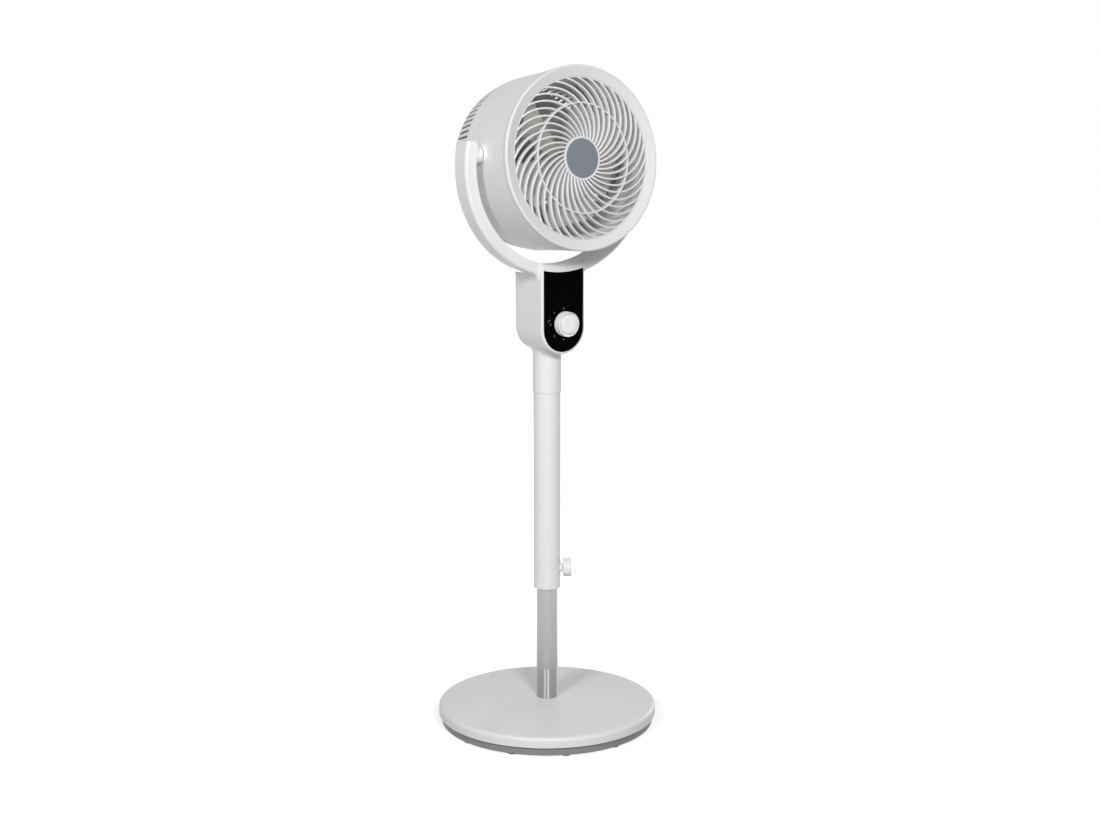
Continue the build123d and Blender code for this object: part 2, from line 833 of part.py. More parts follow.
with BuildPart() as housing_cavity:
    cavity_front = housing_front + housing_front_wall
    cavity_back = housing_back_face - housing_wall
    cavity_plane = facing(cavity_front)
    extrude(
        shield(cavity_plane, housing_inner_half, housing_inner_top),
        amount=cavity_front - cover_front,
    )
    extrude(
        shield(cavity_plane, housing_inner_half, shoulder_inner_top),
        amount=cavity_front - cavity_back,
    )
    fillet(housing_cavity.faces().sort_by(Axis.Y)[-1].edges(), housing_back_round - housing_wall)
    split(bisect_by=level(neck_floor), keep=Keep.TOP)

with BuildPart() as housing_shoulder:
    # closes the channel behind the panel, between the two arm covers
    with BuildSketch(facing(cover_front)):
        add(shield(Plane.XY, housing_half_width, yoke_inner))
        add(shield(Plane.XY, 2 * housing_half_width, shoulder_inner_top), mode=Mode.SUBTRACT)
    extrude(amount=-arm_cover_thickness)

with BuildPart() as back_region:
    region_height = ring_height - neck_floor
    with BuildSketch(level(neck_floor)):
        with Locations((0, shell_seam + housing_half_width)):
            Rectangle(4 * housing_half_width, 2 * housing_half_width)
    extrude(amount=region_height)

housing_screw_spots = [
    (x, z) for x in (-housing_screw_x, housing_screw_x) for z in housing_screw_heights
]
housing_screw_seat = shell_seam + housing_screw_recess
arm_spots = [
    (
        side * (yoke_inner + yoke_outer) / 2 * cos(radians(angle)),
        ring_height + (yoke_inner + yoke_outer) / 2 * sin(radians(angle)),
    )
    for side in (-1, 1)
    for angle in arm_screw_angles
]

with BuildPart() as yoke_housing:
    add(housing_block.part)
    tube(level(neck_bottom), neck_radius, neck_floor - neck_bottom - 5)
    neck_joint = yoke_housing.edges().filter_by(
        lambda edge: edge.center().Z > chin_height - housing_half_width - 1
        and hypot(edge.center().X, edge.center().Y) < neck_radius + 3
        and edge.center().Z < neck_floor
    )
    fillet(neck_joint, neck_round)
    add(yoke_ring.part)
    for side in (-1, 1):
        boss_face = Plane.YZ.offset(side * yoke_boss_face)
        studs(boss_face, [pivot_spot], yoke_boss_radius, side * (channel_inner - yoke_boss_face))
    add(housing_cavity.part, mode=Mode.SUBTRACT)
    channel_plane = facing(channel_front)
    channel_corner = arm_inner_round - yoke_wall
    channel_top = arm_top - yoke_wall
    channel = ring_band(channel_plane, channel_outer, channel_inner, channel_top, channel_corner)
    extrude(channel, amount=channel_front - yoke_back, mode=Mode.SUBTRACT)
    add(housing_shoulder.part)
    add(back_region.part, mode=Mode.SUBTRACT)

    # the control panel's recess and the window behind it
    recess = shield(facing(housing_front), panel_half + cover_gap, panel_top_radius - cover_gap)
    extrude(recess, amount=-panel_thickness, mode=Mode.SUBTRACT)
    window = shield(facing(housing_front), panel_half - panel_ledge, panel_top_radius + panel_ledge)
    extrude(window, amount=-housing_front_wall, mode=Mode.SUBTRACT)

    # the neck's bearing seats, with a hollow between them
    tube(level(neck_bottom), post_flange_radius + turn_gap, neck_seat - neck_bottom, 0, Mode.SUBTRACT)
    tube(level(neck_seat), bush_bore, neck_floor - neck_seat, 0, Mode.SUBTRACT)
    hollow_bottom = neck_seat + bush_length
    hollow_length = neck_floor - bush_length - hollow_bottom
    tube(level(hollow_bottom), neck_radius - neck_wall, hollow_length, 0, Mode.SUBTRACT)

    # bosses for the housing's screws, on the side walls
    front_posts = facing(shell_seam)
    studs(front_posts, housing_screw_spots, housing_screw_post, front_post_length)
    pilot_room = housing_screw_radius + screw_gap
    pilot_depth = housing_screw_length - housing_screw_recess + screw_gap
    studs(front_posts, housing_screw_spots, pilot_room, pilot_depth, Mode.SUBTRACT)

    # ledges that carry the gear drive's plate
    with BuildSketch(level(plate_height)):
        ledge_half = housing_half_width - housing_wall / 2 - plate_screw_x
        with Locations((-plate_screw_x, ledge_y), (plate_screw_x, ledge_y)):
            Rectangle(2 * ledge_half, ledge_length)
    extrude(amount=-ledge_thickness)
    studs(
        level(plate_height),
        plate_screw_spots,
        plate_screw_radius + screw_gap,
        -ledge_thickness,
        Mode.SUBTRACT,
    )
    add(back_region.part, mode=Mode.SUBTRACT)

    # bosses for the arm covers' screws, and the posts that the pivot bolts pass through
    arm_post_length = cover_front - cover_gap / 2 - channel_front
    studs(facing(cover_front - cover_gap / 2), arm_spots, arm_post, arm_post_length)
    arm_pilot = arm_screw_radius + screw_gap
    studs(facing(cover_front), arm_spots, arm_pilot, arm_screw_length, Mode.SUBTRACT)
    for side in (-1, 1):
        boss_face = Plane.YZ.offset(side * yoke_boss_face)
        boss_length = yoke_boss_end - yoke_boss_face
        studs(boss_face, [pivot_spot], pivot_post_radius, side * boss_length)
        bolt_room = pivot_bolt_radius + spindle_gap
        studs(boss_face, [pivot_spot], bolt_room, side * boss_length, Mode.SUBTRACT)
save(yoke_housing, "yoke_housing")

with BuildPart() as housing_back:
    add(housing_block.part)
    add(housing_cavity.part, mode=Mode.SUBTRACT)
    back_posts = facing(shell_seam)
    back_post_length = housing_back_face - housing_wall - shell_seam
    studs(back_posts, housing_screw_spots, housing_screw_post, -back_post_length)
    add(back_region.part, mode=Mode.INTERSECT)
    seam_spot = (shell_seam + cover_gap, neck_floor + cover_gap)
    with BuildSketch(Plane.YZ.offset(-2 * housing_half_width)):
        with Locations(seam_spot):
            Rectangle(ring_height, ring_height, align=(Align.MIN, Align.MIN))
    extrude(amount=4 * housing_half_width, mode=Mode.INTERSECT)
    add(housing_block.part, mode=Mode.INTERSECT)
    shank_hole = housing_screw_radius + screw_gap
    studs(back_posts, housing_screw_spots, shank_hole, -housing_back_face, Mode.SUBTRACT)
    head_hole = housing_screw_head + screw_gap
    head_well = facing(housing_screw_seat)
    studs(head_well, housing_screw_spots, head_hole, -housing_back_face, Mode.SUBTRACT)
    gland_hole = gland_radius + screw_gap
    studs(facing(0), [(0, gland_height)], gland_hole, -2 * housing_back_face, Mode.SUBTRACT)
save(housing_back, "housing_back")

with BuildPart() as housing_screws:
    seat = facing(housing_screw_seat)
    studs(seat, housing_screw_spots, housing_screw_head, -housing_screw_head_height)
    studs(seat, housing_screw_spots, housing_screw_radius, housing_screw_length)
    arm_seat = facing(yoke_back - arm_screw_head_height)
    studs(arm_seat, arm_spots, arm_screw_head, -arm_screw_head_height)
    studs(arm_seat, arm_spots, arm_screw_radius, arm_screw_length)
save(housing_screws, "housing_screws")


def arm_cover(side):
    """The plate that closes the back of one arm's channel: side is -1 on the left, 1 on the right."""
    gap = cover_gap
    cover_plane = facing(cover_front)
    outline = ring_band(
        cover_plane, channel_outer - gap, channel_inner + gap, channel_top - gap, channel_corner - gap
    )
    inner_edge = housing_half_width + gap
    with BuildPart() as cover:
        extrude(outline, amount=-arm_cover_thickness)
        with BuildSketch(facing(cover_front)):
            with Locations((side * (inner_edge + yoke_outer), ring_height)):
                Rectangle(2 * yoke_outer, 4 * yoke_outer)
        extrude(amount=-arm_cover_thickness, mode=Mode.INTERSECT)
        through = -2 * arm_cover_thickness
        studs(cover_plane, arm_spots, arm_screw_radius + screw_gap, through, Mode.SUBTRACT)
        head_seat_plane = facing(yoke_back - arm_screw_head_height)
        studs(head_seat_plane, arm_spots, arm_screw_head + screw_gap, through, Mode.SUBTRACT)
    return cover


left_arm_cover = arm_cover(-1)
save(left_arm_cover, "left_arm_cover")
right_arm_cover = arm_cover(1)
save(right_arm_cover, "right_arm_cover")

with BuildPart() as control_panel:
    extrude(shield(facing(housing_front), panel_half, panel_top_radius), amount=-panel_thickness)
    bush_hole = switch_bush_radius + cover_gap
    studs(facing(housing_front), [(0, dial_height)], bush_hole, -panel_thickness, Mode.SUBTRACT)
save(control_panel, "control_panel")

with BuildPart() as rotary_switch:
    with BuildSketch(facing(panel_back)):
        with Locations((0, dial_height)):
            RectangleRounded(switch_width, switch_width, switch_corner)
    extrude(amount=-switch_depth)
    bush_reach = panel_thickness + switch_bush_reach
    studs(facing(panel_back), [(0, dial_height)], switch_bush_radius, bush_reach)
    switch_floor = panel_back + switch_depth - switch_wall
    shaft_room = dial_shaft_radius + spindle_gap
    room_length = switch_floor - panel_back + bush_reach
    studs(facing(switch_floor), [(0, dial_height)], shaft_room, room_length, Mode.SUBTRACT)
save(rotary_switch, "rotary_switch")

with BuildPart() as switch_nut:
    with BuildSketch(facing(housing_front)):
        with Locations((0, dial_height)):
            RegularPolygon(switch_nut_width / 2, 6, major_radius=False)
            Circle(switch_bush_radius + spindle_gap, mode=Mode.SUBTRACT)
    extrude(amount=switch_nut_height)
save(switch_nut, "switch_nut")

with BuildPart() as dial_shaft:
    shaft_start = switch_floor - slide_gap
    shaft_length = shaft_start - housing_front + dial_length - dial_wall
    studs(facing(shaft_start), [(0, dial_height)], dial_shaft_radius, shaft_length)
save(dial_shaft, "dial_shaft")

with BuildPart() as speed_dial:
    dial_hole = dial_shaft_radius + spindle_gap
    hole_end = dial_length - dial_wall + slide_gap
    well_depth = dial_gap + dial_wall
    turned(
        dial_profile,
        dial_axis,
        [
            (dial_well_radius, dial_gap),
            (dial_foot_radius, dial_gap),
            (dial_radius, dial_foot_height),
            (dial_radius, dial_rim - dial_rim_edge),
            (dial_radius - dial_rim_edge, dial_rim),
            (dial_groove_radius, dial_rim),
            (dial_groove_radius, dial_rim - dial_groove_depth),
            (dial_cap_radius, dial_rim - dial_groove_depth),
            (dial_cap_radius, dial_length - dial_cap_edge),
            (dial_cap_radius - dial_cap_edge, dial_length),
            (0, dial_length),
            (0, hole_end),
            (dial_hole, hole_end),
            (dial_hole, well_depth),
            (dial_well_radius, well_depth),
        ],
    )
    # a pointer notch in the cap, towards the first mark
    with BuildSketch(facing(housing_front - dial_length)):
        with Locations((0, dial_height + dial_cap_radius - dial_notch_length / 2)):
            Rectangle(dial_notch_width, dial_notch_length)
    extrude(amount=-dial_notch_depth, mode=Mode.SUBTRACT)
save(speed_dial, "speed_dial")

with BuildPart() as run_capacitor:
    inner_face = housing_back_face - housing_wall - slide_gap
    with BuildSketch(facing(inner_face)):
        with Locations((0, capacitor_height)):
            Rectangle(capacitor_width, capacitor_length)
    extrude(amount=capacitor_depth)
    fillet(run_capacitor.edges().filter_by(Axis.Y), capacitor_round)
save(run_capacitor, "run_capacitor")

with BuildPart() as cord_gland:
    gland_spot = [(0, gland_height)]
    gland_end = facing(housing_back_face + gland_flange)
    gland_length = gland_flange + gland_inner_length
    studs(gland_end, gland_spot, gland_flange_radius, gland_flange)
    studs(gland_end, gland_spot, gland_radius, gland_length)
    studs(gland_end, gland_spot, gland_bore, gland_length, Mode.SUBTRACT)
save(cord_gland, "cord_gland")

with BuildPart() as swivel_bushes:
    for bottom in (neck_seat, neck_floor - bush_length):
        tube(level(bottom), bush_outer, bush_length, post_radius + slide_gap)
save(swivel_bushes, "swivel_bushes")


# ---------------------------------------------------------------- head

grate_screw_spots = on_circle(grate_screw_circle, grate_screw_count, 30)
motor_screw_spots = on_circle(motor_screw_circle, 4, 45)

with BuildPart() as drum_shell:
    inner = [radius - shell_wall for radius in (drum_front_radius, drum_middle_radius, drum_back_radius)]
    middle = (drum_front + drum_back) / 2
    with BuildSketch(head_profile):
        with BuildLine():
            ThreePointArc(
                (drum_back_radius, drum_back),
                (drum_middle_radius, middle),
                (drum_front_radius, drum_front),
            )
            Line((drum_front_radius, drum_front), (inner[0], drum_front))
            ThreePointArc((inner[0], drum_front), (inner[1], middle), (inner[2], drum_back))
            Line((inner[2], drum_back), (drum_back_radius, drum_back))
        make_face()
    revolve(axis=head_axis)
    pivot_boss_length = drum_boss_outer - drum_boss_inner
    for side in (-1, 1):
        boss_base = Plane.YZ.offset(side * drum_boss_inner)
        studs(boss_base, [pivot_spot], drum_boss_radius, side * pivot_boss_length)
        bush_room = pivot_bush_radius + screw_gap
        studs(boss_base, [pivot_spot], bush_room, side * pivot_boss_length, Mode.SUBTRACT)
save(drum_shell, "drum_shell")

with BuildPart() as pivot_bushes:
    for side in (-1, 1):
        bush_base = Plane.YZ.offset(side * drum_boss_inner)
        studs(bush_base, [pivot_spot], pivot_bush_radius, side * pivot_boss_length)
        bolt_hole = pivot_bolt_radius + spindle_gap
        studs(bush_base, [pivot_spot], bolt_hole, side * pivot_boss_length, Mode.SUBTRACT)
save(pivot_bushes, "pivot_bushes")

with BuildPart() as friction_washers:
    for side in (-1, 1):
        with BuildSketch(Plane.YZ.offset(side * drum_boss_outer)) as washer:
            with Locations(pivot_spot):
                Circle(drum_boss_radius - 1)
                Circle(pivot_bolt_radius + spindle_gap, mode=Mode.SUBTRACT)
        extrude(washer.sketch, amount=side * pivot_washer)
save(friction_washers, "friction_washers")

bolt_head_x = drum_boss_inner - pivot_spring - spindle_gap

with BuildPart() as spring_washers:
    for side in (-1, 1):
        with BuildSketch(Plane.YZ.offset(side * drum_boss_inner)) as spring:
            with Locations(pivot_spot):
                Circle(pivot_spring_radius)
                Circle(pivot_bolt_radius + spindle_gap, mode=Mode.SUBTRACT)
        extrude(spring.sketch, amount=-side * pivot_spring)
save(spring_washers, "spring_washers")

with BuildPart() as pivot_bolts:
    bolt_end = yoke_boss_end + pivot_bolt_end
    for side in (-1, 1):
        head_base = Plane.YZ.offset(side * bolt_head_x)
        studs(head_base, [pivot_spot], pivot_bolt_head, -side * pivot_bolt_head_height)
        studs(head_base, [pivot_spot], pivot_bolt_radius, side * (bolt_end - bolt_head_x))
save(pivot_bolts, "pivot_bolts")

with BuildPart() as pivot_nuts:
    for side in (-1, 1):
        with BuildSketch(Plane.YZ.offset(side * yoke_boss_end)) as nut:
            with Locations(pivot_spot):
                RegularPolygon(pivot_nut_width / 2, 6, major_radius=False)
                Circle(pivot_bolt_radius + spindle_gap, mode=Mode.SUBTRACT)
        extrude(nut.sketch, amount=side * pivot_nut_height)
save(pivot_nuts, "pivot_nuts")

with BuildPart() as rear_shell:
    wall = shell_wall
    seam = drum_back - cover_gap
    spigot_outer = drum_back_radius - wall - turn_gap
    spigot_inner = spigot_outer - spigot_wall
    edge_radius, edge_w = shell_edge
    inner_shoulder = (shell_shoulder[0] - wall, shell_shoulder[1])
    inner_corner = (shell_corner[0] - 0.7 * wall, shell_corner[1] + 0.7 * wall)
    inner_edge = (edge_radius, edge_w + wall)
    with BuildSketch(head_profile):
        with BuildLine():
            ThreePointArc((drum_back_radius, seam), shell_flank, shell_shoulder)
            ThreePointArc(shell_shoulder, shell_corner, shell_edge)
            Polyline(
                shell_edge,
                (shell_lip_radius, edge_w),
                (shell_lip_radius, edge_w + wall),
                inner_edge,
            )
            ThreePointArc(inner_edge, inner_corner, inner_shoulder)
            Polyline(
                inner_shoulder,
                (spigot_inner, seam - wall),
                (spigot_inner, seam + spigot_length),
                (spigot_outer, seam + spigot_length),
                (spigot_outer, seam),
                (drum_back_radius, seam),
            )
        make_face()
    revolve(axis=head_axis)
    slot_middle = (drum_back_radius + shell_corner[0]) / 2
    with BuildSketch(head_plane.offset(side_slot_end)):
        with PolarLocations(slot_middle, side_slot_count):
            Rectangle(1.5 * (drum_back_radius - shell_corner[0]), side_slot_width)
    extrude(amount=side_slot_start - side_slot_end, mode=Mode.SUBTRACT)
    edge_plane = head_plane.offset(edge_w)
    grate_hole = grate_screw_radius + screw_gap
    studs(edge_plane, grate_screw_spots, grate_hole, 2 * wall, Mode.SUBTRACT)
save(rear_shell, "rear_shell")

with BuildPart() as rear_grate:
    grate_radius = edge_radius - wall / 2
    tube(head_plane.offset(grate_back), grate_radius, grate_thickness)
    bars_outer = grate_inner + grate_rings * grate_pitch
    tube(head_plane.offset(grate_back), bars_outer, grate_depth, grate_inner - grate_bar)
    for ring in range(grate_rings):
        hole_length = grate_pitch - grate_bar
        hole_middle = grate_inner + ring * grate_pitch + hole_length / 2
        hole_width = 2 * pi * hole_middle / grate_spokes - grate_bar
        with BuildSketch(head_plane.offset(grate_back)) as holes:
            with PolarLocations(hole_middle, grate_spokes):
                Rectangle(hole_length, hole_width)
        extrude(holes.sketch, amount=grate_depth, mode=Mode.SUBTRACT)
    grate_plane = head_plane.offset(grate_back)
    motor_hole = motor_screw_radius + screw_gap
    studs(grate_plane, motor_screw_spots, motor_hole, grate_thickness, Mode.SUBTRACT)
    studs(grate_plane, grate_screw_spots, grate_hole, grate_thickness, Mode.SUBTRACT)
save(rear_grate, "rear_grate")

with BuildPart() as rear_screws:
    studs(edge_plane, grate_screw_spots, grate_screw_head, -grate_screw_head_height)
    studs(edge_plane, grate_screw_spots, grate_screw_radius, grate_front - edge_w)
    studs(grate_plane, motor_screw_spots, motor_screw_head, -motor_screw_head_height)
    motor_screw_length = grate_thickness + motor_screw_bite
    studs(grate_plane, motor_screw_spots, motor_screw_radius, motor_screw_length)
save(rear_screws, "rear_screws")

with BuildPart() as motor_cover:
    cover_base = grate_back - slide_gap
    cover_end = cover_base - motor_cover_depth
    turned(
        head_profile,
        head_axis,
        [
            (motor_cover_radius, cover_base),
            (motor_cover_radius, cover_base - motor_cover_rim),
            (motor_cover_radius - motor_cover_slope, cover_end),
            (0, cover_end),
            (0, cover_end + motor_cover_wall),
            (motor_cover_radius - motor_cover_slope, cover_end + motor_cover_wall),
            (motor_cover_radius - motor_cover_wall, cover_base - motor_cover_rim),
            (motor_cover_radius - motor_cover_wall, cover_base),
        ],
    )
    with BuildSketch(head_plane.offset(cover_end)):
        with PolarLocations(motor_cover_slot_circle, motor_cover_slots):
            SlotOverall(motor_cover_slot_length, motor_cover_slot_width)
    extrude(amount=motor_cover_wall, mode=Mode.SUBTRACT)
save(motor_cover, "motor_cover")

with BuildPart() as motor_rear_shield:
    tube(head_plane.offset(motor_back), motor_radius, motor_back_wall)
    tube(
        head_plane.offset(motor_back),
        motor_radius,
        stator_back - motor_back,
        motor_radius - motor_wall,
    )
    boss_top = motor_back + bearing_wall + bearing_length
    tube(head_plane.offset(motor_back), bearing_radius + bearing_wall, boss_top - motor_back)
    rear_pocket = head_plane.offset(boss_top - bearing_length)
    tube(rear_pocket, bearing_radius + spindle_gap, bearing_length, 0, Mode.SUBTRACT)
    screw_bosses = head_plane.offset(motor_back)
    studs(screw_bosses, motor_screw_spots, motor_screw_boss, motor_screw_boss_height)
    motor_pilot = motor_screw_bite + screw_gap
    studs(screw_bosses, motor_screw_spots, motor_hole, motor_pilot, Mode.SUBTRACT)
save(motor_rear_shield, "motor_rear_shield")

with BuildPart() as motor_front_shield:
    tube(
        head_plane.offset(stator_front),
        motor_radius,
        motor_front - stator_front,
        motor_radius - motor_wall,
    )
    tube(head_plane.offset(motor_front - motor_wall), motor_radius, motor_wall)
    front_boss = head_plane.offset(motor_front - motor_wall - bearing_length)
    tube(front_boss, bearing_radius + bearing_wall, bearing_length + motor_wall)
    tube(front_boss, bearing_radius + spindle_gap, bearing_length, 0, Mode.SUBTRACT)
    front_depth = bearing_length + motor_wall
    tube(front_boss, shaft_radius + shaft_clearance, front_depth, 0, Mode.SUBTRACT)
save(motor_front_shield, "motor_front_shield")

with BuildPart() as motor_bearings:
    for bearing_w in (boss_top - bearing_length, motor_front - motor_wall - bearing_length):
        bearing_plane = head_plane.offset(bearing_w)
        tube(bearing_plane, bearing_radius, bearing_length, shaft_radius + spindle_gap)
save(motor_bearings, "motor_bearings")

with BuildPart() as stator_core:
    stack = stator_front - stator_back
    tube(head_plane.offset(stator_back), motor_radius, stack, rotor_radius + rotor_gap)
save(stator_core, "stator_core")

with BuildPart() as stator_windings:
    coil_outer = motor_radius - motor_wall - coil_margin / 2
    coil_inner = rotor_radius + rotor_gap + coil_margin
    tube(head_plane.offset(stator_back), coil_outer, -coil_back_length, coil_inner)
    tube(head_plane.offset(stator_front), coil_outer, coil_front_length, coil_inner)
    fillet(stator_windings.edges().filter_by(GeomType.CIRCLE), coil_round)
save(stator_windings, "stator_windings")

with BuildPart() as motor_shaft:
    shaft_back = boss_top - bearing_length + slide_gap
    shaft_front = impeller_hub_front + nut_length - nut_wall
    tube(head_plane.offset(shaft_back), shaft_radius, shaft_front - shaft_back)
save(motor_shaft, "motor_shaft")

with BuildPart() as rotor_core:
    rotor_length = stack - 2 * rotor_shorter
    tube(head_plane.offset(stator_back + rotor_shorter), rotor_radius, rotor_length, shaft_radius)
save(rotor_core, "rotor_core")

lip_back = opening_front - bezel_lip
duct_front = lip_back - cover_gap - grille_flange - cover_gap

with BuildPart() as air_duct:
    duct_flange_radius = drum_front_radius - shell_wall - 2 * turn_gap
    duct_outer = duct_radius + duct_wall
    cone_back = duct_front - duct_cone_length
    flare_front = duct_back + duct_flare_length
    turned(
        head_profile,
        head_axis,
        [
            (duct_radius + duct_flare, duct_back),
            (duct_radius, flare_front),
            (duct_radius, cone_back),
            (opening_radius, duct_front),
            (duct_flange_radius, duct_front),
            (duct_flange_radius, duct_front - duct_flange),
            (opening_radius + duct_wall, duct_front - duct_flange),
            (duct_outer, cone_back),
            (duct_outer, flare_front),
            (duct_outer + duct_flare, duct_back),
        ],
    )
save(air_duct, "air_duct")

with BuildPart() as front_bezel:
    skirt_outer = drum_front_radius - shell_wall - turn_gap
    skirt_inner = skirt_outer - bezel_skirt
    rim_base = drum_front + cover_gap
    bezel_inner = opening_radius + bezel_skirt
    with BuildSketch(head_profile) as bezel_face:
        with BuildLine():
            Polyline(
                (drum_front_radius, rim_base),
                (bezel_radius, bezel_front - bezel_edge_height),
                (bezel_radius - bezel_edge_slope, bezel_front),
                (opening_radius, opening_front),
                (opening_radius, lip_back),
                (bezel_inner, lip_back),
                (bezel_inner, opening_front - bezel_skirt / 2),
                (skirt_inner, bezel_front - 2 * bezel_skirt),
                (skirt_inner, duct_front + cover_gap),
                (skirt_outer, duct_front + cover_gap),
                (skirt_outer, rim_base),
                close=True,
            )
        make_face()
        rim_corner = bezel_face.vertices().sort_by(Axis.Y)[-1]
        fillet(rim_corner, bezel_round)
        opening_corner = (opening_radius, opening_front)
        fillet(bezel_face.vertices().sort_by_distance(opening_corner)[0], opening_round)
    revolve(axis=head_axis)
save(front_bezel, "front_bezel")


def grille_envelope(depth):
    """The domed band that the grille's ribs lie in, as a sketch on the head's profile plane."""
    inner, outer = badge_radius, opening_radius - cover_gap
    rim_back = lip_back - cover_gap - grille_flange
    with BuildSketch(head_profile) as band:
        with BuildLine():
            ThreePointArc(
                (inner, grille_hub_front),
                (dome_radius, grille_dome),
                (outer, opening_front),
            )
            Line((outer, opening_front), (outer, rim_back))
            ThreePointArc(
                (outer, rim_back),
                (dome_radius, grille_dome - depth),
                (inner, grille_hub_front - depth),
            )
            Line((inner, grille_hub_front - depth), (inner, grille_hub_front))
        make_face()
    return band.sketch


def rib_face(turn):
    """One rib's outline: a curved bar from the hub to the outer ring."""
    centre = (rib_centre * cos(radians(turn)), rib_centre * sin(radians(turn)))

    def direction(distance):
        """The way from the arc's centre to its point at a distance from the head's axis."""
        cosine = (rib_centre**2 + rib_radius**2 - distance**2) / (2 * rib_centre * rib_radius)
        return turn + 180 + degrees(acos(cosine))

    first = direction(grille_hub_radius - rib_width / 2)
    last = direction(opening_radius - rib_width / 2)
    with BuildSketch() as rib:
        with BuildLine():
            outer_arc = CenterArc(centre, rib_radius + rib_width / 2, first, last - first)
            inner_arc = CenterArc(centre, rib_radius - rib_width / 2, first, last - first)
            Line(outer_arc @ 0, inner_arc @ 0)
            Line(outer_arc @ 1, inner_arc @ 1)
        make_face()
    return rib.sketch


with BuildPart() as front_grille:
    grille_floor = opening_front - 2 * rib_depth
    with BuildSketch(head_plane.offset(grille_floor)):
        Circle(grille_ring_radius + grille_ring_width / 2)
        Circle(grille_ring_radius - grille_ring_width / 2, mode=Mode.SUBTRACT)
        for rib in range(rib_count):
            add(rib_face(rib_turn + 360 * rib / rib_count))
    extrude(amount=4 * rib_depth)
    revolve(grille_envelope(rib_depth), axis=head_axis, mode=Mode.INTERSECT)
    hub_back = head_plane.offset(grille_hub_front + grille_hub_rim - grille_hub_depth)
    hub_floor = grille_hub_depth - badge_thickness - badge_sink
    tube(hub_back, grille_hub_radius, grille_hub_depth, badge_radius + cover_gap)
    tube(hub_back.offset(hub_floor - grille_hub_floor), grille_hub_radius, grille_hub_floor)
    frame_outer = opening_radius - cover_gap
    frame_inner = frame_outer - grille_frame_width
    flange_front = lip_back - cover_gap
    flange_back = head_plane.offset(flange_front - grille_flange)
    frame_depth = opening_front - flange_front + grille_flange
    tube(flange_back, frame_outer, frame_depth, frame_inner)
    tube(flange_back, skirt_inner - turn_gap, grille_flange, frame_inner)
save(front_grille, "front_grille")

with BuildPart() as hub_badge:
    tube(hub_back.offset(hub_floor), badge_radius, badge_thickness)
    fillet(hub_badge.edges().filter_by(GeomType.CIRCLE).sort_by(head_axis)[-1], badge_round)
save(hub_badge, "hub_badge")


# ---------------------------------------------------------------- impeller


def blade_section(distance, chord, pitch, shift):
    """A cambered blade section on a plane square to the blade's span."""
    half = chord / 2
    camber = blade_camber * chord
    slope = radians(pitch)

    def place(along, across):
        side = shift + along * cos(slope) - across * sin(slope)
        return (side, blade_middle + along * sin(slope) + across * cos(slope))

    thick = blade_thickness / 2
    span_plane = Plane(
        origin=head_plane.from_local_coords(Vector(distance, 0, 0)),
        x_dir=head_plane.y_dir,
        z_dir=(1, 0, 0),
    )
    with BuildSketch(span_plane) as section:
        with BuildLine():
            ThreePointArc(place(-half, thick), place(0, thick - camber), place(half, thick))
            Line(place(half, thick), place(half, -thick))
            ThreePointArc(place(half, -thick), place(0, -thick - camber), place(-half, -thick))
            Line(place(-half, -thick), place(-half, thick))
        make_face()
    return section.sketch


with BuildPart() as blade:
    loft([blade_section(*blade_root).face(), blade_section(*blade_end).face()], ruled=True)
    blade_chord = blade_end[1]
    with BuildSketch(head_plane.offset(blade_middle - blade_chord / 2)):
        Circle(blade_tip)
    extrude(amount=blade_chord, mode=Mode.INTERSECT)

with BuildPart() as impeller:
    hub_length = impeller_hub_front - impeller_hub_back
    tube(head_plane.offset(impeller_hub_back), impeller_hub_radius, hub_length)
    for number in range(blade_count):
        add(blade.part.rotate(head_axis, 360 * number / blade_count))
    fillet(impeller.edges().filter_by(GeomType.CIRCLE).sort_by(head_axis)[-1], impeller_round)
    cup_depth = hub_length - impeller_wall
    cup = head_plane.offset(impeller_hub_back)
    cup_radius = impeller_hub_radius - impeller_wall
    tube(cup, cup_radius, cup_depth, impeller_boss_radius, Mode.SUBTRACT)
    tube(cup, shaft_radius + spindle_gap, hub_length, 0, Mode.SUBTRACT)
save(impeller, "impeller")

with BuildPart() as spinner_nut:
    tube(head_plane.offset(impeller_hub_front), nut_radius, nut_length)
    fillet(spinner_nut.edges().filter_by(GeomType.CIRCLE).sort_by(head_axis)[-1], nut_round)
    nut_plane = head_plane.offset(impeller_hub_front)
    nut_flute_spots = on_circle(nut_radius + nut_flute_radius - nut_flute_depth, nut_flutes)
    studs(nut_plane, nut_flute_spots, nut_flute_radius, nut_length, Mode.SUBTRACT)
    nut_hole = shaft_radius + spindle_gap
    tube(nut_plane, nut_hole, nut_length - nut_wall + slide_gap, 0, Mode.SUBTRACT)
save(spinner_nut, "spinner_nut")
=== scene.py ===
"""Looks for a pedestal air circulator: finishes, modelled pieces and a pale studio.

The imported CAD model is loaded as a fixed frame. Most of its nodes keep their shape and get a
finish. The front grille, the impeller, the speed dial and the panel's marks are modelled here.
Lengths are metres in the frame's own axes: Z is up, the fan blows towards -Y, and the origin is
on the floor at the middle of the base. Angles are radians.
"""

import json
import logging
from dataclasses import dataclass, field
from enum import Enum
from math import acos, cos, pi, radians, sin, sqrt, tan
from typing import Iterable, Sequence

import bmesh
import bpy
from mathutils import Matrix, Vector


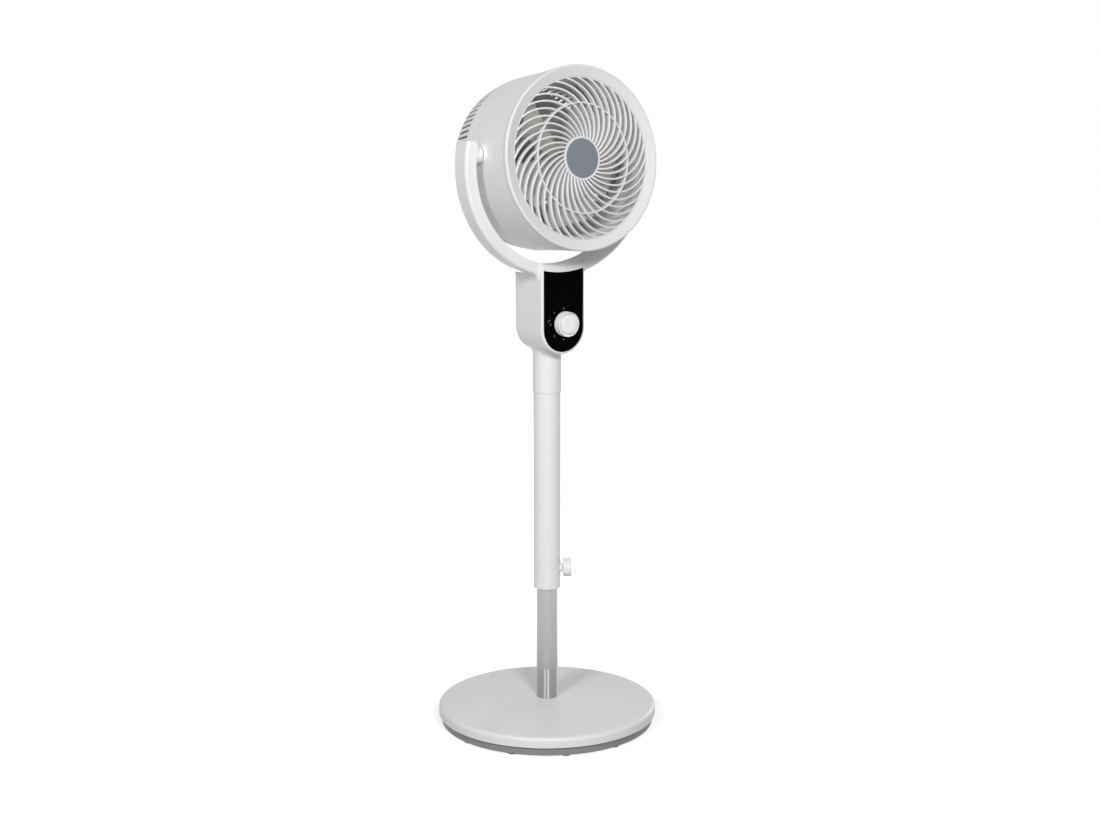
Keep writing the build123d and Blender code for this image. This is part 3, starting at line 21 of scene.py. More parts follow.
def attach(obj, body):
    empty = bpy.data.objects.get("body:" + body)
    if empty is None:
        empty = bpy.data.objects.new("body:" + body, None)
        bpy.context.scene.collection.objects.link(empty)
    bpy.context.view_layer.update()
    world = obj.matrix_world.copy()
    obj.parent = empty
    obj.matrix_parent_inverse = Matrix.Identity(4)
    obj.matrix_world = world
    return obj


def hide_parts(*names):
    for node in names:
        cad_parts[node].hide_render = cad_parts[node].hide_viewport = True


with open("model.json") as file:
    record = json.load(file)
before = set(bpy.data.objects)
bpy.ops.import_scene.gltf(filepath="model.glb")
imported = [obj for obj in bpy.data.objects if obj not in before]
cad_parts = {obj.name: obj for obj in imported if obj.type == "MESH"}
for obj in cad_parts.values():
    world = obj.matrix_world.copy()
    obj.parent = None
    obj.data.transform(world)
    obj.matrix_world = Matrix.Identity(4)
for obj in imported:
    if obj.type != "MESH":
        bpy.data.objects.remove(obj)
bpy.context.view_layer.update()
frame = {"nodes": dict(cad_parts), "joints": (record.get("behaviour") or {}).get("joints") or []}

Colour = tuple[float, float, float]
Point = tuple[float, float, float]
Profile = list[tuple[float, float]]

log = logging.getLogger("circulator")


class Slot(Enum):
    """The record's material slots."""

    WHITE_PLASTIC = "white_plastic"
    GREY_PLASTIC = "grey_plastic"
    PANEL_BLACK = "panel_black"
    DARK_PLASTIC = "dark_plastic"
    BADGE_GREY = "badge_grey"
    CREAM_PLASTIC = "cream_plastic"
    BEARING_PLASTIC = "bearing_plastic"
    PAINTED_TUBE = "painted_tube"
    CHROME_TUBE = "chrome_tube"
    STEEL = "steel"
    MOTOR_STEEL = "motor_steel"
    WEIGHT_IRON = "weight_iron"
    ALUMINIUM = "aluminium"
    COPPER = "copper"
    RUBBER = "rubber"


class Body(Enum):
    """The CAD bodies that the modelled pieces ride on."""

    YOKE = "yoke"
    HEAD = "head"
    IMPELLER = "impeller"
    SPEED_DIAL = "speed_dial"


# ---------------------------------------------------------------- finishes


class ShaderGraph:
    """One material's node tree, with short ways to add and join its nodes."""

    def __init__(self, name: str) -> None:
        """Starts a material with a Principled shader.

        Args:
            name: the material's name.
        """
        self.material = bpy.data.materials.new(name)
        self.material.use_nodes = True
        self.tree = self.material.node_tree
        self.shader = self.tree.nodes["Principled BSDF"]
        self.place = self.add("ShaderNodeTexCoord").outputs["Object"]

    def add(self, kind: str) -> bpy.types.Node:
        """Adds a node of a kind and returns it."""
        return self.tree.nodes.new(kind)

    def join(self, output: bpy.types.NodeSocket, target: bpy.types.NodeSocket) -> None:
        """Joins an output socket to an input socket."""
        self.tree.links.new(output, target)

    def noise(
        self,
        size: float,
        detail: float = 2.0,
        stretch: Point = (1.0, 1.0, 1.0),
        roughness: float = 0.5,
    ) -> bpy.types.NodeSocket:
        """Adds a noise texture on the piece's own coordinates.

        Args:
            size: the size of the noise's features, in metres.
            detail: how many finer layers it has.
            stretch: a factor on each axis, below one to draw the features out along it.
            roughness: how strong the finer layers are.

        Returns:
            The noise's value socket.
        """
        mapping = self.add("ShaderNodeMapping")
        mapping.inputs["Scale"].default_value = stretch
        texture = self.add("ShaderNodeTexNoise")
        texture.inputs["Scale"].default_value = 1.0 / size
        texture.inputs["Detail"].default_value = detail
        texture.inputs["Roughness"].default_value = roughness
        self.join(self.place, mapping.inputs["Vector"])
        self.join(mapping.outputs["Vector"], texture.inputs["Vector"])
        return texture.outputs["Fac"]

    def cells(self, size: float) -> bpy.types.NodeSocket:
        """Adds a Voronoi texture on the piece's own coordinates.

        Args:
            size: the size of its cells, in metres.

        Returns:
            The socket of the distance from a cell's middle.
        """
        texture = self.add("ShaderNodeTexVoronoi")
        texture.inputs["Scale"].default_value = 1.0 / size
        self.join(self.place, texture.inputs["Vector"])
        return texture.outputs["Distance"]

    def spread(
        self,
        value: bpy.types.NodeSocket,
        low: float,
        high: float,
        start: float = 0.3,
        end: float = 0.7,
    ) -> bpy.types.NodeSocket:
        """Maps the middle of a texture's range to a range of numbers.

        Args:
            value: the texture's value.
            low: the number at the range's start.
            high: the number at the range's end.
            start: the texture's value that gives low.
            end: the texture's value that gives high.

        Returns:
            The mapped value socket.
        """
        node = self.add("ShaderNodeMapRange")
        node.inputs["From Min"].default_value = start
        node.inputs["From Max"].default_value = end
        node.inputs["To Min"].default_value = low
        node.inputs["To Max"].default_value = high
        self.join(value, node.inputs["Value"])
        return node.outputs["Result"]

    def tint(
        self, value: bpy.types.NodeSocket, first: Colour, second: Colour
    ) -> bpy.types.NodeSocket:
        """Mixes two colours by a value.

        Args:
            value: 0 gives the first colour and 1 the second.
            first: the colour at 0.
            second: the colour at 1.

        Returns:
            The colour socket.
        """
        ramp = self.add("ShaderNodeValToRGB")
        ramp.color_ramp.elements[0].color = (*first, 1.0)
        ramp.color_ramp.elements[1].color = (*second, 1.0)
        self.join(value, ramp.inputs["Fac"])
        return ramp.outputs["Color"]

    def relief(self, heights: Sequence[tuple[bpy.types.NodeSocket, float]]) -> None:
        """Chains bump nodes and joins them to the shader.

        Args:
            heights: pairs of a height socket and the depth in metres that it stands for.
        """
        normal = None
        for value, depth in heights:
            bump = self.add("ShaderNodeBump")
            bump.inputs["Strength"].default_value = 1.0
            bump.inputs["Distance"].default_value = depth
            self.join(value, bump.inputs["Height"])
            if normal is not None:
                self.join(normal, bump.inputs["Normal"])
            normal = bump.outputs["Normal"]
        self.join(normal, self.shader.inputs["Normal"])


def shade(colour: Colour, factor: float) -> Colour:
    """A colour made lighter or darker by a factor."""
    return (colour[0] * factor, colour[1] * factor, colour[2] * factor)


@dataclass(frozen=True)
class Finish:
    """What every finish shares: a Principled shader with a colour, a gloss and a fine grain."""

    name: str
    slot: Slot
    colour: Colour
    roughness: float
    metallic: float = 0.0
    specular: float = 0.5
    mottle: float = 0.02
    mottle_size: float = 0.06
    gloss_change: float = 0.04
    grain: float = 0.0007
    grain_depth: float = 0.00001

    def material(self) -> bpy.types.Material:
        """Makes the finish's material the first time that it is asked for.

        Returns:
            The material.
        """
        made = bpy.data.materials.get(self.name)
        if made is not None:
            return made
        graph = ShaderGraph(self.name)
        inputs = graph.shader.inputs
        inputs["Metallic"].default_value = self.metallic
        inputs["Specular IOR Level"].default_value = self.specular
        self.dress(graph)
        return graph.material

    def dress(self, graph: ShaderGraph) -> None:
        """Adds the textures of one kind of finish to its shader.

        Args:
            graph: the material's nodes.
        """
        raise NotImplementedError

    def join_colour(self, graph: ShaderGraph) -> None:
        """Joins a colour that wanders a little over the surface to the shader.

        Args:
            graph: the material's nodes.
        """
        blend = graph.spread(graph.noise(self.mottle_size, detail=3.0), 0.0, 1.0)
        dark, light = shade(self.colour, 1 - self.mottle), shade(self.colour, 1 + self.mottle)
        graph.join(graph.tint(blend, dark, light), graph.shader.inputs["Base Color"])

    def varied_roughness(
        self, graph: ShaderGraph, value: bpy.types.NodeSocket
    ) -> bpy.types.NodeSocket:
        """Maps a texture's value to the finish's range of roughness and returns its socket."""
        low, high = self.roughness - self.gloss_change, self.roughness + self.gloss_change
        return graph.spread(value, low, high)

    def join_roughness(self, graph: ShaderGraph, value: bpy.types.NodeSocket) -> None:
        """Joins a roughness that varies with a texture's value to the shader."""
        graph.join(self.varied_roughness(graph, value), graph.shader.inputs["Roughness"])


@dataclass(frozen=True)
class MouldedPlastic(Finish):
    """Injection moulded plastic with the fine spark texture of its mould."""

    spark: float = 0.0011
    spark_depth: float = 0.000012

    def dress(self, graph: ShaderGraph) -> None:
        """Adds soft mottling, a wandering gloss and two sizes of pits.

        Args:
            graph: the material's nodes.
        """
        self.join_colour(graph)
        self.join_roughness(graph, graph.noise(self.mottle_size / 2, detail=4.0))
        pits = graph.cells(self.spark)
        fine = graph.noise(self.grain, detail=3.0)
        graph.relief([(pits, self.spark_depth), (fine, self.grain_depth)])


@dataclass(frozen=True)
class PowderCoat(Finish):
    """Powder coated tube: an even orange peel under a soft sheen."""

    peel: float = 0.0035
    peel_depth: float = 0.000025

    def dress(self, graph: ShaderGraph) -> None:
        """Adds the orange peel and its finer grain.

        Args:
            graph: the material's nodes.
        """
        self.join_colour(graph)
        peel = graph.noise(self.peel, detail=1.0)
        self.join_roughness(graph, peel)
        graph.relief([(peel, self.peel_depth), (graph.noise(self.grain), self.grain_depth)])


@dataclass(frozen=True)
class PlatedPole(Finish):
    """A plated tube with a satin upper part and a polished foot."""

    foot_top: float = 0.0865
    foot_edge: float = 0.0002
    foot_colour: Colour = (0.37, 0.365, 0.375)
    foot_roughness: float = 0.37
    foot_brushing: float = 1.0
    foot_glint_turn: float = 0.25
    streak: float = 0.0009
    streak_length: float = 0.03
    streak_depth: float = 0.000006

    def dress(self, graph: ShaderGraph) -> None:
        """Adds drawn streaks, and a step in colour and gloss at the top of the foot.

        Args:
            graph: the material's nodes.
        """
        foot = self.foot(graph)
        along = (1.0, 1.0, self.streak / self.streak_length)
        streaks = graph.noise(self.streak, detail=4.0, stretch=along)
        self.two_colours(graph, foot, streaks)
        self.two_glosses(graph, foot, streaks)
        self.brushing(graph, foot)
        graph.relief([(streaks, self.streak_depth)])

    def foot(self, graph: ShaderGraph) -> bpy.types.NodeSocket:
        """Adds a value that is 1 on the polished foot and 0 above it.

        Args:
            graph: the material's nodes.

        Returns:
            The value's socket.
        """
        parts = graph.add("ShaderNodeSeparateXYZ")
        graph.join(graph.place, parts.inputs["Vector"])
        start, end = self.foot_top - self.foot_edge, self.foot_top + self.foot_edge
        return graph.spread(parts.outputs["Z"], 1.0, 0.0, start, end)

    def two_colours(
        self, graph: ShaderGraph, foot: bpy.types.NodeSocket, streaks: bpy.types.NodeSocket
    ) -> None:
        """Joins the colours of the streaked satin part and of the foot to the shader.

        Args:
            graph: the material's nodes.
            foot: the value that is 1 on the foot.
            streaks: the streaks' value.
        """
        dark = shade(self.colour, 1 - 2 * self.mottle)
        light = shade(self.colour, 1 + 2 * self.mottle)
        satin = graph.tint(graph.spread(streaks, 0.0, 1.0), dark, light)
        mix = graph.add("ShaderNodeMix")
        mix.data_type = "RGBA"
        mix.inputs["B"].default_value = (*self.foot_colour, 1.0)
        graph.join(foot, mix.inputs["Factor"])
        graph.join(satin, mix.inputs["A"])
        graph.join(mix.outputs["Result"], graph.shader.inputs["Base Color"])

    def two_glosses(
        self, graph: ShaderGraph, foot: bpy.types.NodeSocket, streaks: bpy.types.NodeSocket
    ) -> None:
        """Joins the roughness of the streaked satin part and of the foot to the shader.

        Args:
            graph: the material's nodes.
            foot: the value that is 1 on the foot.
            streaks: the streaks' value.
        """
        mix = graph.add("ShaderNodeMix")
        mix.inputs["B"].default_value = self.foot_roughness
        graph.join(foot, mix.inputs["Factor"])
        graph.join(self.varied_roughness(graph, streaks), mix.inputs["A"])
        graph.join(mix.outputs["Result"], graph.shader.inputs["Roughness"])

    def brushing(self, graph: ShaderGraph, foot: bpy.types.NodeSocket) -> None:
        """Draws the foot's highlights out into two bright lines along the pole.

        Args:
            graph: the material's nodes.
            foot: the value that is 1 on the foot.
        """
        around = graph.add("ShaderNodeTangent")
        around.direction_type = "RADIAL"
        around.axis = "Z"
        graph.join(around.outputs["Tangent"], graph.shader.inputs["Tangent"])
        brushed = graph.spread(foot, 0.0, self.foot_brushing, 0.0, 1.0)
        graph.join(brushed, graph.shader.inputs["Anisotropic"])
        graph.shader.inputs["Anisotropic Rotation"].default_value = self.foot_glint_turn


@dataclass(frozen=True)
class GlossPanel(Finish):
    """Gloss acrylic with a hard clear face and the faint ripple that moulding leaves."""

    ripple: float = 0.05
    ripple_depth: float = 0.00002
    wipe_stretch: Point = (1.0, 1.0, 0.35)

    def dress(self, graph: ShaderGraph) -> None:
        """Adds faint wipe marks in the gloss and a slow ripple.

        Args:
            graph: the material's nodes.
        """
        self.join_colour(graph)
        wiped = graph.noise(self.mottle_size, detail=4.0, stretch=self.wipe_stretch)
        self.join_roughness(graph, wiped)
        graph.relief([(graph.noise(self.ripple, detail=0.0), self.ripple_depth)])


@dataclass(frozen=True)
class DrawnMetal(Finish):
    """Plated or machined metal with fine tool marks."""

    mark: float = 0.0005
    mark_depth: float = 0.000008
    mark_stretch: Point = (1.0, 0.12, 1.0)

    def dress(self, graph: ShaderGraph) -> None:
        """Adds blotchy plating and tool marks.

        Args:
            graph: the material's nodes.
        """
        self.join_colour(graph)
        marks = graph.noise(self.mark, detail=4.0, stretch=self.mark_stretch)
        self.join_roughness(graph, marks)
        graph.relief([(marks, self.mark_depth)])


@dataclass(frozen=True)
class CastMetal(Finish):
    """Sand cast or die cast metal, or rubber from such a mould: coarse grain with pits."""

    pit: float = 0.004
    pit_depth: float = 0.00012

    def dress(self, graph: ShaderGraph) -> None:
        """Adds pits over a coarse grain.

        Args:
            graph: the material's nodes.
        """
        self.join_colour(graph)
        self.join_roughness(graph, graph.noise(self.pit, detail=5.0))
        pits = graph.noise(self.pit, detail=6.0, roughness=0.65)
        graph.relief([(pits, self.pit_depth), (graph.noise(self.grain), self.grain_depth)])


@dataclass(frozen=True)
class Layered(Finish):
    """Stacked laminations or wound wire: fine bands square to the head's axis."""

    pitch: float = 0.0005
    band_depth: float = 0.0001
    band_shade: float = 0.55
    waver: float = 0.6
    waver_scale: float = 2.0
    tilt: float = radians(7.0)

    def dress(self, graph: ShaderGraph) -> None:
        """Adds bands of colour and relief along the head's axis.

        Args:
            graph: the material's nodes.
        """
        turn = graph.add("ShaderNodeMapping")
        turn.inputs["Rotation"].default_value = (self.tilt, 0.0, 0.0)
        graph.join(graph.place, turn.inputs["Vector"])
        bands = graph.add("ShaderNodeTexWave")
        bands.bands_direction = "Y"
        # The texture repeats every pi / (10 * scale) metres.
        bands.inputs["Scale"].default_value = pi / (10 * self.pitch)
        bands.inputs["Distortion"].default_value = self.waver
        bands.inputs["Detail Scale"].default_value = self.waver_scale
        graph.join(turn.outputs["Vector"], bands.inputs["Vector"])
        value = bands.outputs["Fac"]
        colour = graph.tint(value, shade(self.colour, self.band_shade), self.colour)
        graph.join(colour, graph.shader.inputs["Base Color"])
        self.join_roughness(graph, value)
        graph.relief([(value, self.band_depth)])


WHITE = MouldedPlastic("white plastic", Slot.WHITE_PLASTIC, (0.79, 0.785, 0.79), 0.4)
# Bezel and grille: the white plastic made darker, as painted shade where the key lamps fall full on
# the fan's front.
BEZEL_SHADED_WHITE = MouldedPlastic("bezel plastic with painted shade", Slot.WHITE_PLASTIC, (0.725, 0.725, 0.73), 0.42)
# Duct and rear grate: the white plastic made lighter, as painted light inside the drum where the
# lamps reach little.
DUCT_LIT_WHITE = MouldedPlastic("duct plastic with painted light", Slot.WHITE_PLASTIC, (0.92, 0.92, 0.92), 0.5)
DIAL_WHITE = MouldedPlastic("dial plastic", Slot.WHITE_PLASTIC, (0.87, 0.87, 0.87), 0.28)
TRAY_GREY = MouldedPlastic("tray plastic", Slot.GREY_PLASTIC, (0.24, 0.24, 0.245), 0.5)
# The impeller's own cream tone, partly made lighter as painted light inside the drum where the
# lamps reach little.
LIT_CREAM = MouldedPlastic(
    "impeller plastic with painted light", Slot.CREAM_PLASTIC, (0.8, 0.77, 0.715), 0.32, grain_depth=0.000004
)
BADGE = MouldedPlastic("badge plastic", Slot.BADGE_GREY, (0.18, 0.2, 0.232), 0.42)
DARK = MouldedPlastic("switch plastic", Slot.DARK_PLASTIC, (0.03, 0.03, 0.03), 0.45)
ACETAL = MouldedPlastic("bearing plastic", Slot.BEARING_PLASTIC, (0.72, 0.71, 0.66), 0.4)
# A usual specular level would show the white studio in the panel and turn it grey.
PANEL = GlossPanel(
    "panel acrylic",
    Slot.PANEL_BLACK,
    (0.0009, 0.0008, 0.0009),
    0.15,
    specular=0.01,
    gloss_change=0.02,
)
INK = MouldedPlastic("panel ink", Slot.WHITE_PLASTIC, (0.45, 0.45, 0.45), 0.5)
TUBE = PowderCoat("white powder coat", Slot.PAINTED_TUBE, (0.79, 0.785, 0.79), 0.4)
POLE = PlatedPole(
    "plated pole", Slot.CHROME_TUBE, (0.36, 0.355, 0.36), 0.42, metallic=0.85, mottle=0.03
)
STEEL = DrawnMetal("zinc plated steel", Slot.STEEL, (0.56, 0.56, 0.55), 0.32, metallic=1.0)
ALUMINIUM = CastMetal(
    "die cast aluminium",
    Slot.ALUMINIUM,
    (0.66, 0.66, 0.68),
    0.42,
    metallic=1.0,
    pit=0.0015,
    pit_depth=0.00003,
)
IRON = CastMetal("cast iron", Slot.WEIGHT_IRON, (0.10, 0.10, 0.10), 0.7, metallic=0.4)
LAMINATIONS = Layered("motor laminations", Slot.MOTOR_STEEL, (0.30, 0.30, 0.31), 0.4, metallic=0.9)
WINDINGS = Layered(
    "enamelled wire", Slot.COPPER, (0.62, 0.27, 0.12), 0.28, metallic=0.8, pitch=0.0008
)
RUBBER = CastMetal(
    "grey rubber", Slot.RUBBER, (0.17, 0.17, 0.172), 0.75, pit=0.001, pit_depth=0.00003
)

NODE_FINISHES: dict[Finish, tuple[str, ...]] = {
    WHITE: (
        "base_cover",
        "lower_bush",
        "height_knob",
        "yoke_housing",
        "housing_back",
        "left_arm_cover",
        "right_arm_cover",
        "drum_shell",
        "rear_shell",
        "motor_cover",
    ),
    BEZEL_SHADED_WHITE: ("front_bezel",),
    DUCT_LIT_WHITE: ("air_duct", "rear_grate"),
    TRAY_GREY: ("base_tray", "cord_gland"),
    RUBBER: ("base_feet", "friction_washers"),
    IRON: ("base_weight",),
    POLE: ("inner_pole",),
    TUBE: ("outer_pole", "clamp_boss"),
    ACETAL: (
        "pole_guide",
        "clamp_pad",
        "thrust_washer",
        "fixed_gear",
        "swivel_bushes",
        "swing_pinion",
        "pivot_bushes",
    ),
    STEEL: (
        "base_screws",
        "pole_flange",
        "flange_screws",
        "swivel_post",
        "post_nut",
        "height_screw",
        "housing_screws",
        "switch_nut",
        "drive_plate",
        "plate_screws",
        "swing_motor",
        "pivot_bolts",
        "pivot_nuts",
        "dial_shaft",
        "spring_washers",
        "rear_screws",
        "motor_bearings",
        "motor_shaft",
    ),
    PANEL: ("control_panel",),
    DARK: ("rotary_switch", "run_capacitor"),
    BADGE: ("hub_badge",),
    ALUMINIUM: ("motor_rear_shield", "motor_front_shield"),
    LAMINATIONS: ("stator_core", "rotor_core"),
    WINDINGS: ("stator_windings",),
    LIT_CREAM: ("spinner_nut",),
}


# ---------------------------------------------------------------- mesh making


class MeshMaker:
    """Collects rings of points into closed skins and turns them into one object."""

    def __init__(self, place: Matrix | None = None) -> None:
        """Starts an empty mesh.

        Args:
            place: the matrix from the maker's own coordinates to the frame's.
        """
        self.place = place or Matrix.Identity(4)
        self.mesh = bmesh.new()

    def ring(self, points: Iterable[Vector]) -> list[bmesh.types.BMVert]:
        """Adds a ring of points and returns its vertices."""
        return [self.mesh.verts.new(self.place @ point) for point in points]

    def skin(self, rings: Sequence[list[bmesh.types.BMVert]], looped: bool = False) -> None:
        """Covers a row of equal closed rings with quads.

        Args:
            rings: the rings, in order.
            looped: whether the last ring joins the first. If not, both are closed by a face.
        """
        count = len(rings[0])
        pairs = list(zip(rings, rings[1:]))
        if looped:
            pairs.append((rings[-1], rings[0]))
        for first, second in pairs:
            for i in range(count):
                j = (i + 1) % count
                self.mesh.faces.new((first[i], first[j], second[j], second[i]))
        if not looped:
            self.mesh.faces.new(list(reversed(rings[0])))
            self.mesh.faces.new(rings[-1])

    def lathe(self, profile: Profile, segments: int) -> None:
        """Turns a closed outline of radius and height about the maker's Z axis.

        Args:
            profile: points of radius and height. None lies on the axis.
            segments: how many steps make the full turn.
        """
        rings = []
        for step in range(segments):
            turn = 2 * pi * step / segments
            rings.append(
                self.ring(Vector((r * cos(turn), r * sin(turn), z)) for r, z in profile)
            )
        self.skin(rings, looped=True)

    def build(self, name: str, smooth_angle: float = radians(35.0)) -> bpy.types.Object:
        """Makes the object and adds it to the scene.

        Args:
            name: the object's name.
            smooth_angle: edges sharper than this stay sharp.

        Returns:
            The new object.
        """
        bmesh.ops.recalc_face_normals(self.mesh, faces=self.mesh.faces)
        data = bpy.data.meshes.new(name)
        self.mesh.to_mesh(data)
        self.mesh.free()
        data.shade_smooth()
        data.set_sharp_from_angle(angle=smooth_angle)
        made = bpy.data.objects.new(name, data)
        bpy.context.scene.collection.objects.link(made)
        return made


def rounded(outline: Profile, radii: Sequence[float], steps: int = 4) -> Profile:
    """Rounds the corners of a closed outline.

    Args:
        outline: the corner points.
        radii: the rounding of each corner, 0 where it stays sharp.
        steps: how many points each rounded corner gets, less one.

    Returns:
        The outline with its rounded corners.
    """
    points: Profile = []
    count = len(outline)
    for i, (spot, radius) in enumerate(zip(outline, radii)):
        corner = Vector(spot)
        if radius <= 0:
            points.append(tuple(corner))
            continue
        before = (Vector(outline[i - 1]) - corner).normalized()
        after = (Vector(outline[(i + 1) % count]) - corner).normalized()
        half = before.angle(after) / 2
        reach = radius / tan(half)
        centre = corner + (before + after).normalized() * (radius / sin(half))
        start = corner + before * reach - centre
        end = corner + after * reach - centre
        sweep = start.angle(end)
        for step in range(steps + 1):
            share = step / steps
            blend = (start * sin((1 - share) * sweep) + end * sin(share * sweep)) / sin(sweep)
            points.append(tuple(centre + blend))
    return points


def circle_through(a: Vector, b: Vector, c: Vector) -> tuple[Vector, float]:
    """Finds the circle through three points of a plane.

    Args:
        a: the first point.
        b: the second point.
        c: the third point.

    Returns:
        The circle's centre and radius.
    """
    d = 2 * (a.x * (b.y - c.y) + b.x * (c.y - a.y) + c.x * (a.y - b.y))
    aa, bb, cc = a.length_squared, b.length_squared, c.length_squared
    x = (aa * (b.y - c.y) + bb * (c.y - a.y) + cc * (a.y - b.y)) / d
    y = (aa * (c.x - b.x) + bb * (a.x - c.x) + cc * (b.x - a.x)) / d
    centre = Vector((x, y))
    return centre, (a - centre).length


def dress(piece: bpy.types.Object, finish: Finish) -> None:
    """Gives a piece one finish in place of what it had."""
    piece.data.materials.clear()
    piece.data.materials.append(finish.material())


def settle(piece: bpy.types.Object, finish: Finish, body: Body, *nodes: str) -> None:
    """Dresses a modelled piece, sets it on its body and hides the nodes it stands for.

    Args:
        piece: the modelled piece, in place.
        finish: its finish.
        body: the CAD body that it moves with.
        nodes: the CAD nodes that it replaces.
    """
    dress(piece, finish)
    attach(piece, body.value)
    if nodes:
        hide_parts(*nodes)
    log.info("%s: %d faces on %s", piece.name, len(piece.data.polygons), body.value)


def joint_place(name: str) -> Matrix:
    """A matrix with its Z axis along a joint's axis and its X axis level.

    Args:
        name: the joint's name in the record.

    Returns:
        The matrix from coordinates about the joint to the frame's.
    """
    joint = next(joint for joint in frame["joints"] if joint["name"] == name)
    along = Vector(joint["axis"]).normalized()
    across = Vector((1.0, 0.0, 0.0))
    up = along.cross(across).normalized()
    turn = Matrix((across, up, along)).transposed()
    return Matrix.Translation(joint["pos_m"]) @ turn.to_4x4()


# ---------------------------------------------------------------- sub-assemblies


@dataclass
class FrontGrille:
    """The swirled grille in front of the impeller, with its hub cup, inner ring and rim.

    Heights run forward along the impeller's axis, from its joint's place. Each rib is an arc of
    rib_radius about a point that lies rib_centre from the axis.
    """

    rib_count: int = 36
    rib_centre: float = 0.062
    rib_radius: float = 0.067
    rib_turn: float = radians(4.0)
    rib_width: float = 0.0029
    rib_depth: float = 0.010
    rim_depth: float = 0.0066
    rib_taper: float = 0.8
    front_round: float = 0.85
    back_round: float = 0.3
    rib_steps: int = 40
    ring_radius: float = 0.0802
    ring_width: float = 0.0023
    hub_radius: float = 0.0318
    hub_front: float = 0.091
    hub_rim: float = 0.0004
    hub_depth: float = 0.0104
    hub_floor: float = 0.002
    cup_radius: float = 0.0287
    cup_floor: float = 0.088
    cup_centre: float = 0.0002
    cup_edge: float = 0.0006
    dome: float = 0.0952
    dome_radius: float = 0.0762
    rim_radius: float = 0.1188
    rim_front: float = 0.089
    rim_width: float = 0.002
    rim_edge: float = 0.0008
    rim_step: float = 0.0003
    flange_radius: float = 0.12875
    flange_front: float = 0.0844
    flange: float = 0.002
    segments: int = 180
    place: Matrix = field(default_factory=lambda: joint_place("impeller_spin"))

    def __post_init__(self) -> None:
        """Finds the circle that the dome's profile follows."""
        self.dome_centre, self.dome_curve = circle_through(
            Vector((self.hub_radius - self.rib_width, self.hub_front)),
            Vector((self.dome_radius, self.dome)),
            Vector((self.rim_radius, self.rim_front)),
        )

    def depth(self, distance: float) -> float:
        """How deep the ribs are at a distance from the axis: they get shallower towards the rim."""
        share = (distance - self.ring_radius) / (self.rim_radius - self.ring_radius)
        return self.rib_depth - (self.rib_depth - self.rim_depth) * max(0.0, share)

    def height(self, distance: float) -> float:
        """How far forward the ribs' front stands at a distance from the axis."""
        across = distance - self.dome_centre.x
        return self.dome_centre.y + sqrt(self.dome_curve**2 - across**2)

    def rib(self, maker: MeshMaker, turn: float) -> None:
        """Adds one rib: a curved bar with a rounded front that follows the dome.

        Args:
            maker: the mesh that it is added to.
            turn: where the centre of the rib's arc lies, in radians.
        """
        centre = Vector((self.rib_centre * cos(turn), self.rib_centre * sin(turn)))
        ends = (self.hub_radius - self.rib_width / 2, self.rim_radius - self.rib_width / 2)
        first, last = (self.bearing(distance) for distance in ends)
        half = self.rib_width / 2
        foot = self.rib_taper * half
        rings = []
        for step in range(self.rib_steps + 1):
            angle = turn + pi + first + (last - first) * step / self.rib_steps
            out = Vector((cos(angle), sin(angle)))
            spot = centre + out * self.rib_radius
            front, back = self.height(spot.length), -self.depth(spot.length)
            section = self.bar([(-foot, back), (-half, 0.0), (half, 0.0), (foot, back)], half)
            rings.append(
                maker.ring(
                    Vector((spot.x + out.x * side, spot.y + out.y * side, front + rise))
                    for side, rise in section
                )
            )
        maker.skin(rings)

    def bar(self, outline: Profile, half: float) -> Profile:
        """Rounds a bar's outline, which runs from its back over its front to its back.

        Args:
            outline: the four corners.
            half: half the bar's width.

        Returns:
            The rounded outline.
        """
        back, front = self.back_round * half, self.front_round * half
        return rounded(outline, [back, front, front, back])

    def bearing(self, distance: float) -> float:
        """Finds where a rib's arc crosses a distance from the axis.

        Args:
            distance: the distance from the axis.

        Returns:
            The angle at the arc's centre, from the axis to the crossing.
        """
        cosine = (self.rib_centre**2 + self.rib_radius**2 - distance**2) / (
            2 * self.rib_centre * self.rib_radius
        )
        return acos(cosine)

    def ring(self, maker: MeshMaker) -> None:
        """Adds the ring half way out, which ties the ribs together.

        Args:
            maker: the mesh that it is added to.
        """
        half, front = self.ring_width / 2, self.height(self.ring_radius)
        back = front - self.rib_depth
        outline = [
            (self.ring_radius - half, back),
            (self.ring_radius - half, front),
            (self.ring_radius + half, front),
            (self.ring_radius + half, back),
        ]
        maker.lathe(self.bar(outline, half), self.segments)

    def cup(self, maker: MeshMaker) -> None:
        """Adds the hub's cup, whose rim stands round the badge.

        Args:
            maker: the mesh that it is added to.
        """
        front = self.hub_front + self.hub_rim
        back = front - self.hub_depth
        under = self.cup_floor - self.hub_floor
        outline = [
            (self.cup_centre, under),
            (self.cup_radius, under),
            (self.cup_radius, back),
            (self.hub_radius, back),
            (self.hub_radius, front),
            (self.cup_radius, front),
            (self.cup_radius, self.cup_floor),
            (self.cup_centre, self.cup_floor),
        ]
        edge = self.cup_edge
        radii = [0, edge, 0, edge, 1.6 * edge, 0.8 * edge, 0, 0]
        maker.lathe(rounded(outline, radii), self.segments)

    def rim(self, maker: MeshMaker) -> None:
        """Adds the rim that the ribs end in, with the flange that sits behind the bezel.

        Args:
            maker: the mesh that it is added to.
        """
        inner = self.rim_radius - self.rim_width
        back = self.flange_front - self.flange
        outline = [
            (inner, back),
            (inner, self.rim_front),
            (self.rim_radius, self.rim_front),
            (self.rim_radius, self.flange_front),
            (self.flange_radius, self.flange_front),
            (self.flange_radius, back),
        ]
        maker.lathe(rounded(outline, [0, self.rim_edge, self.rim_step, 0, 0, 0]), self.segments)

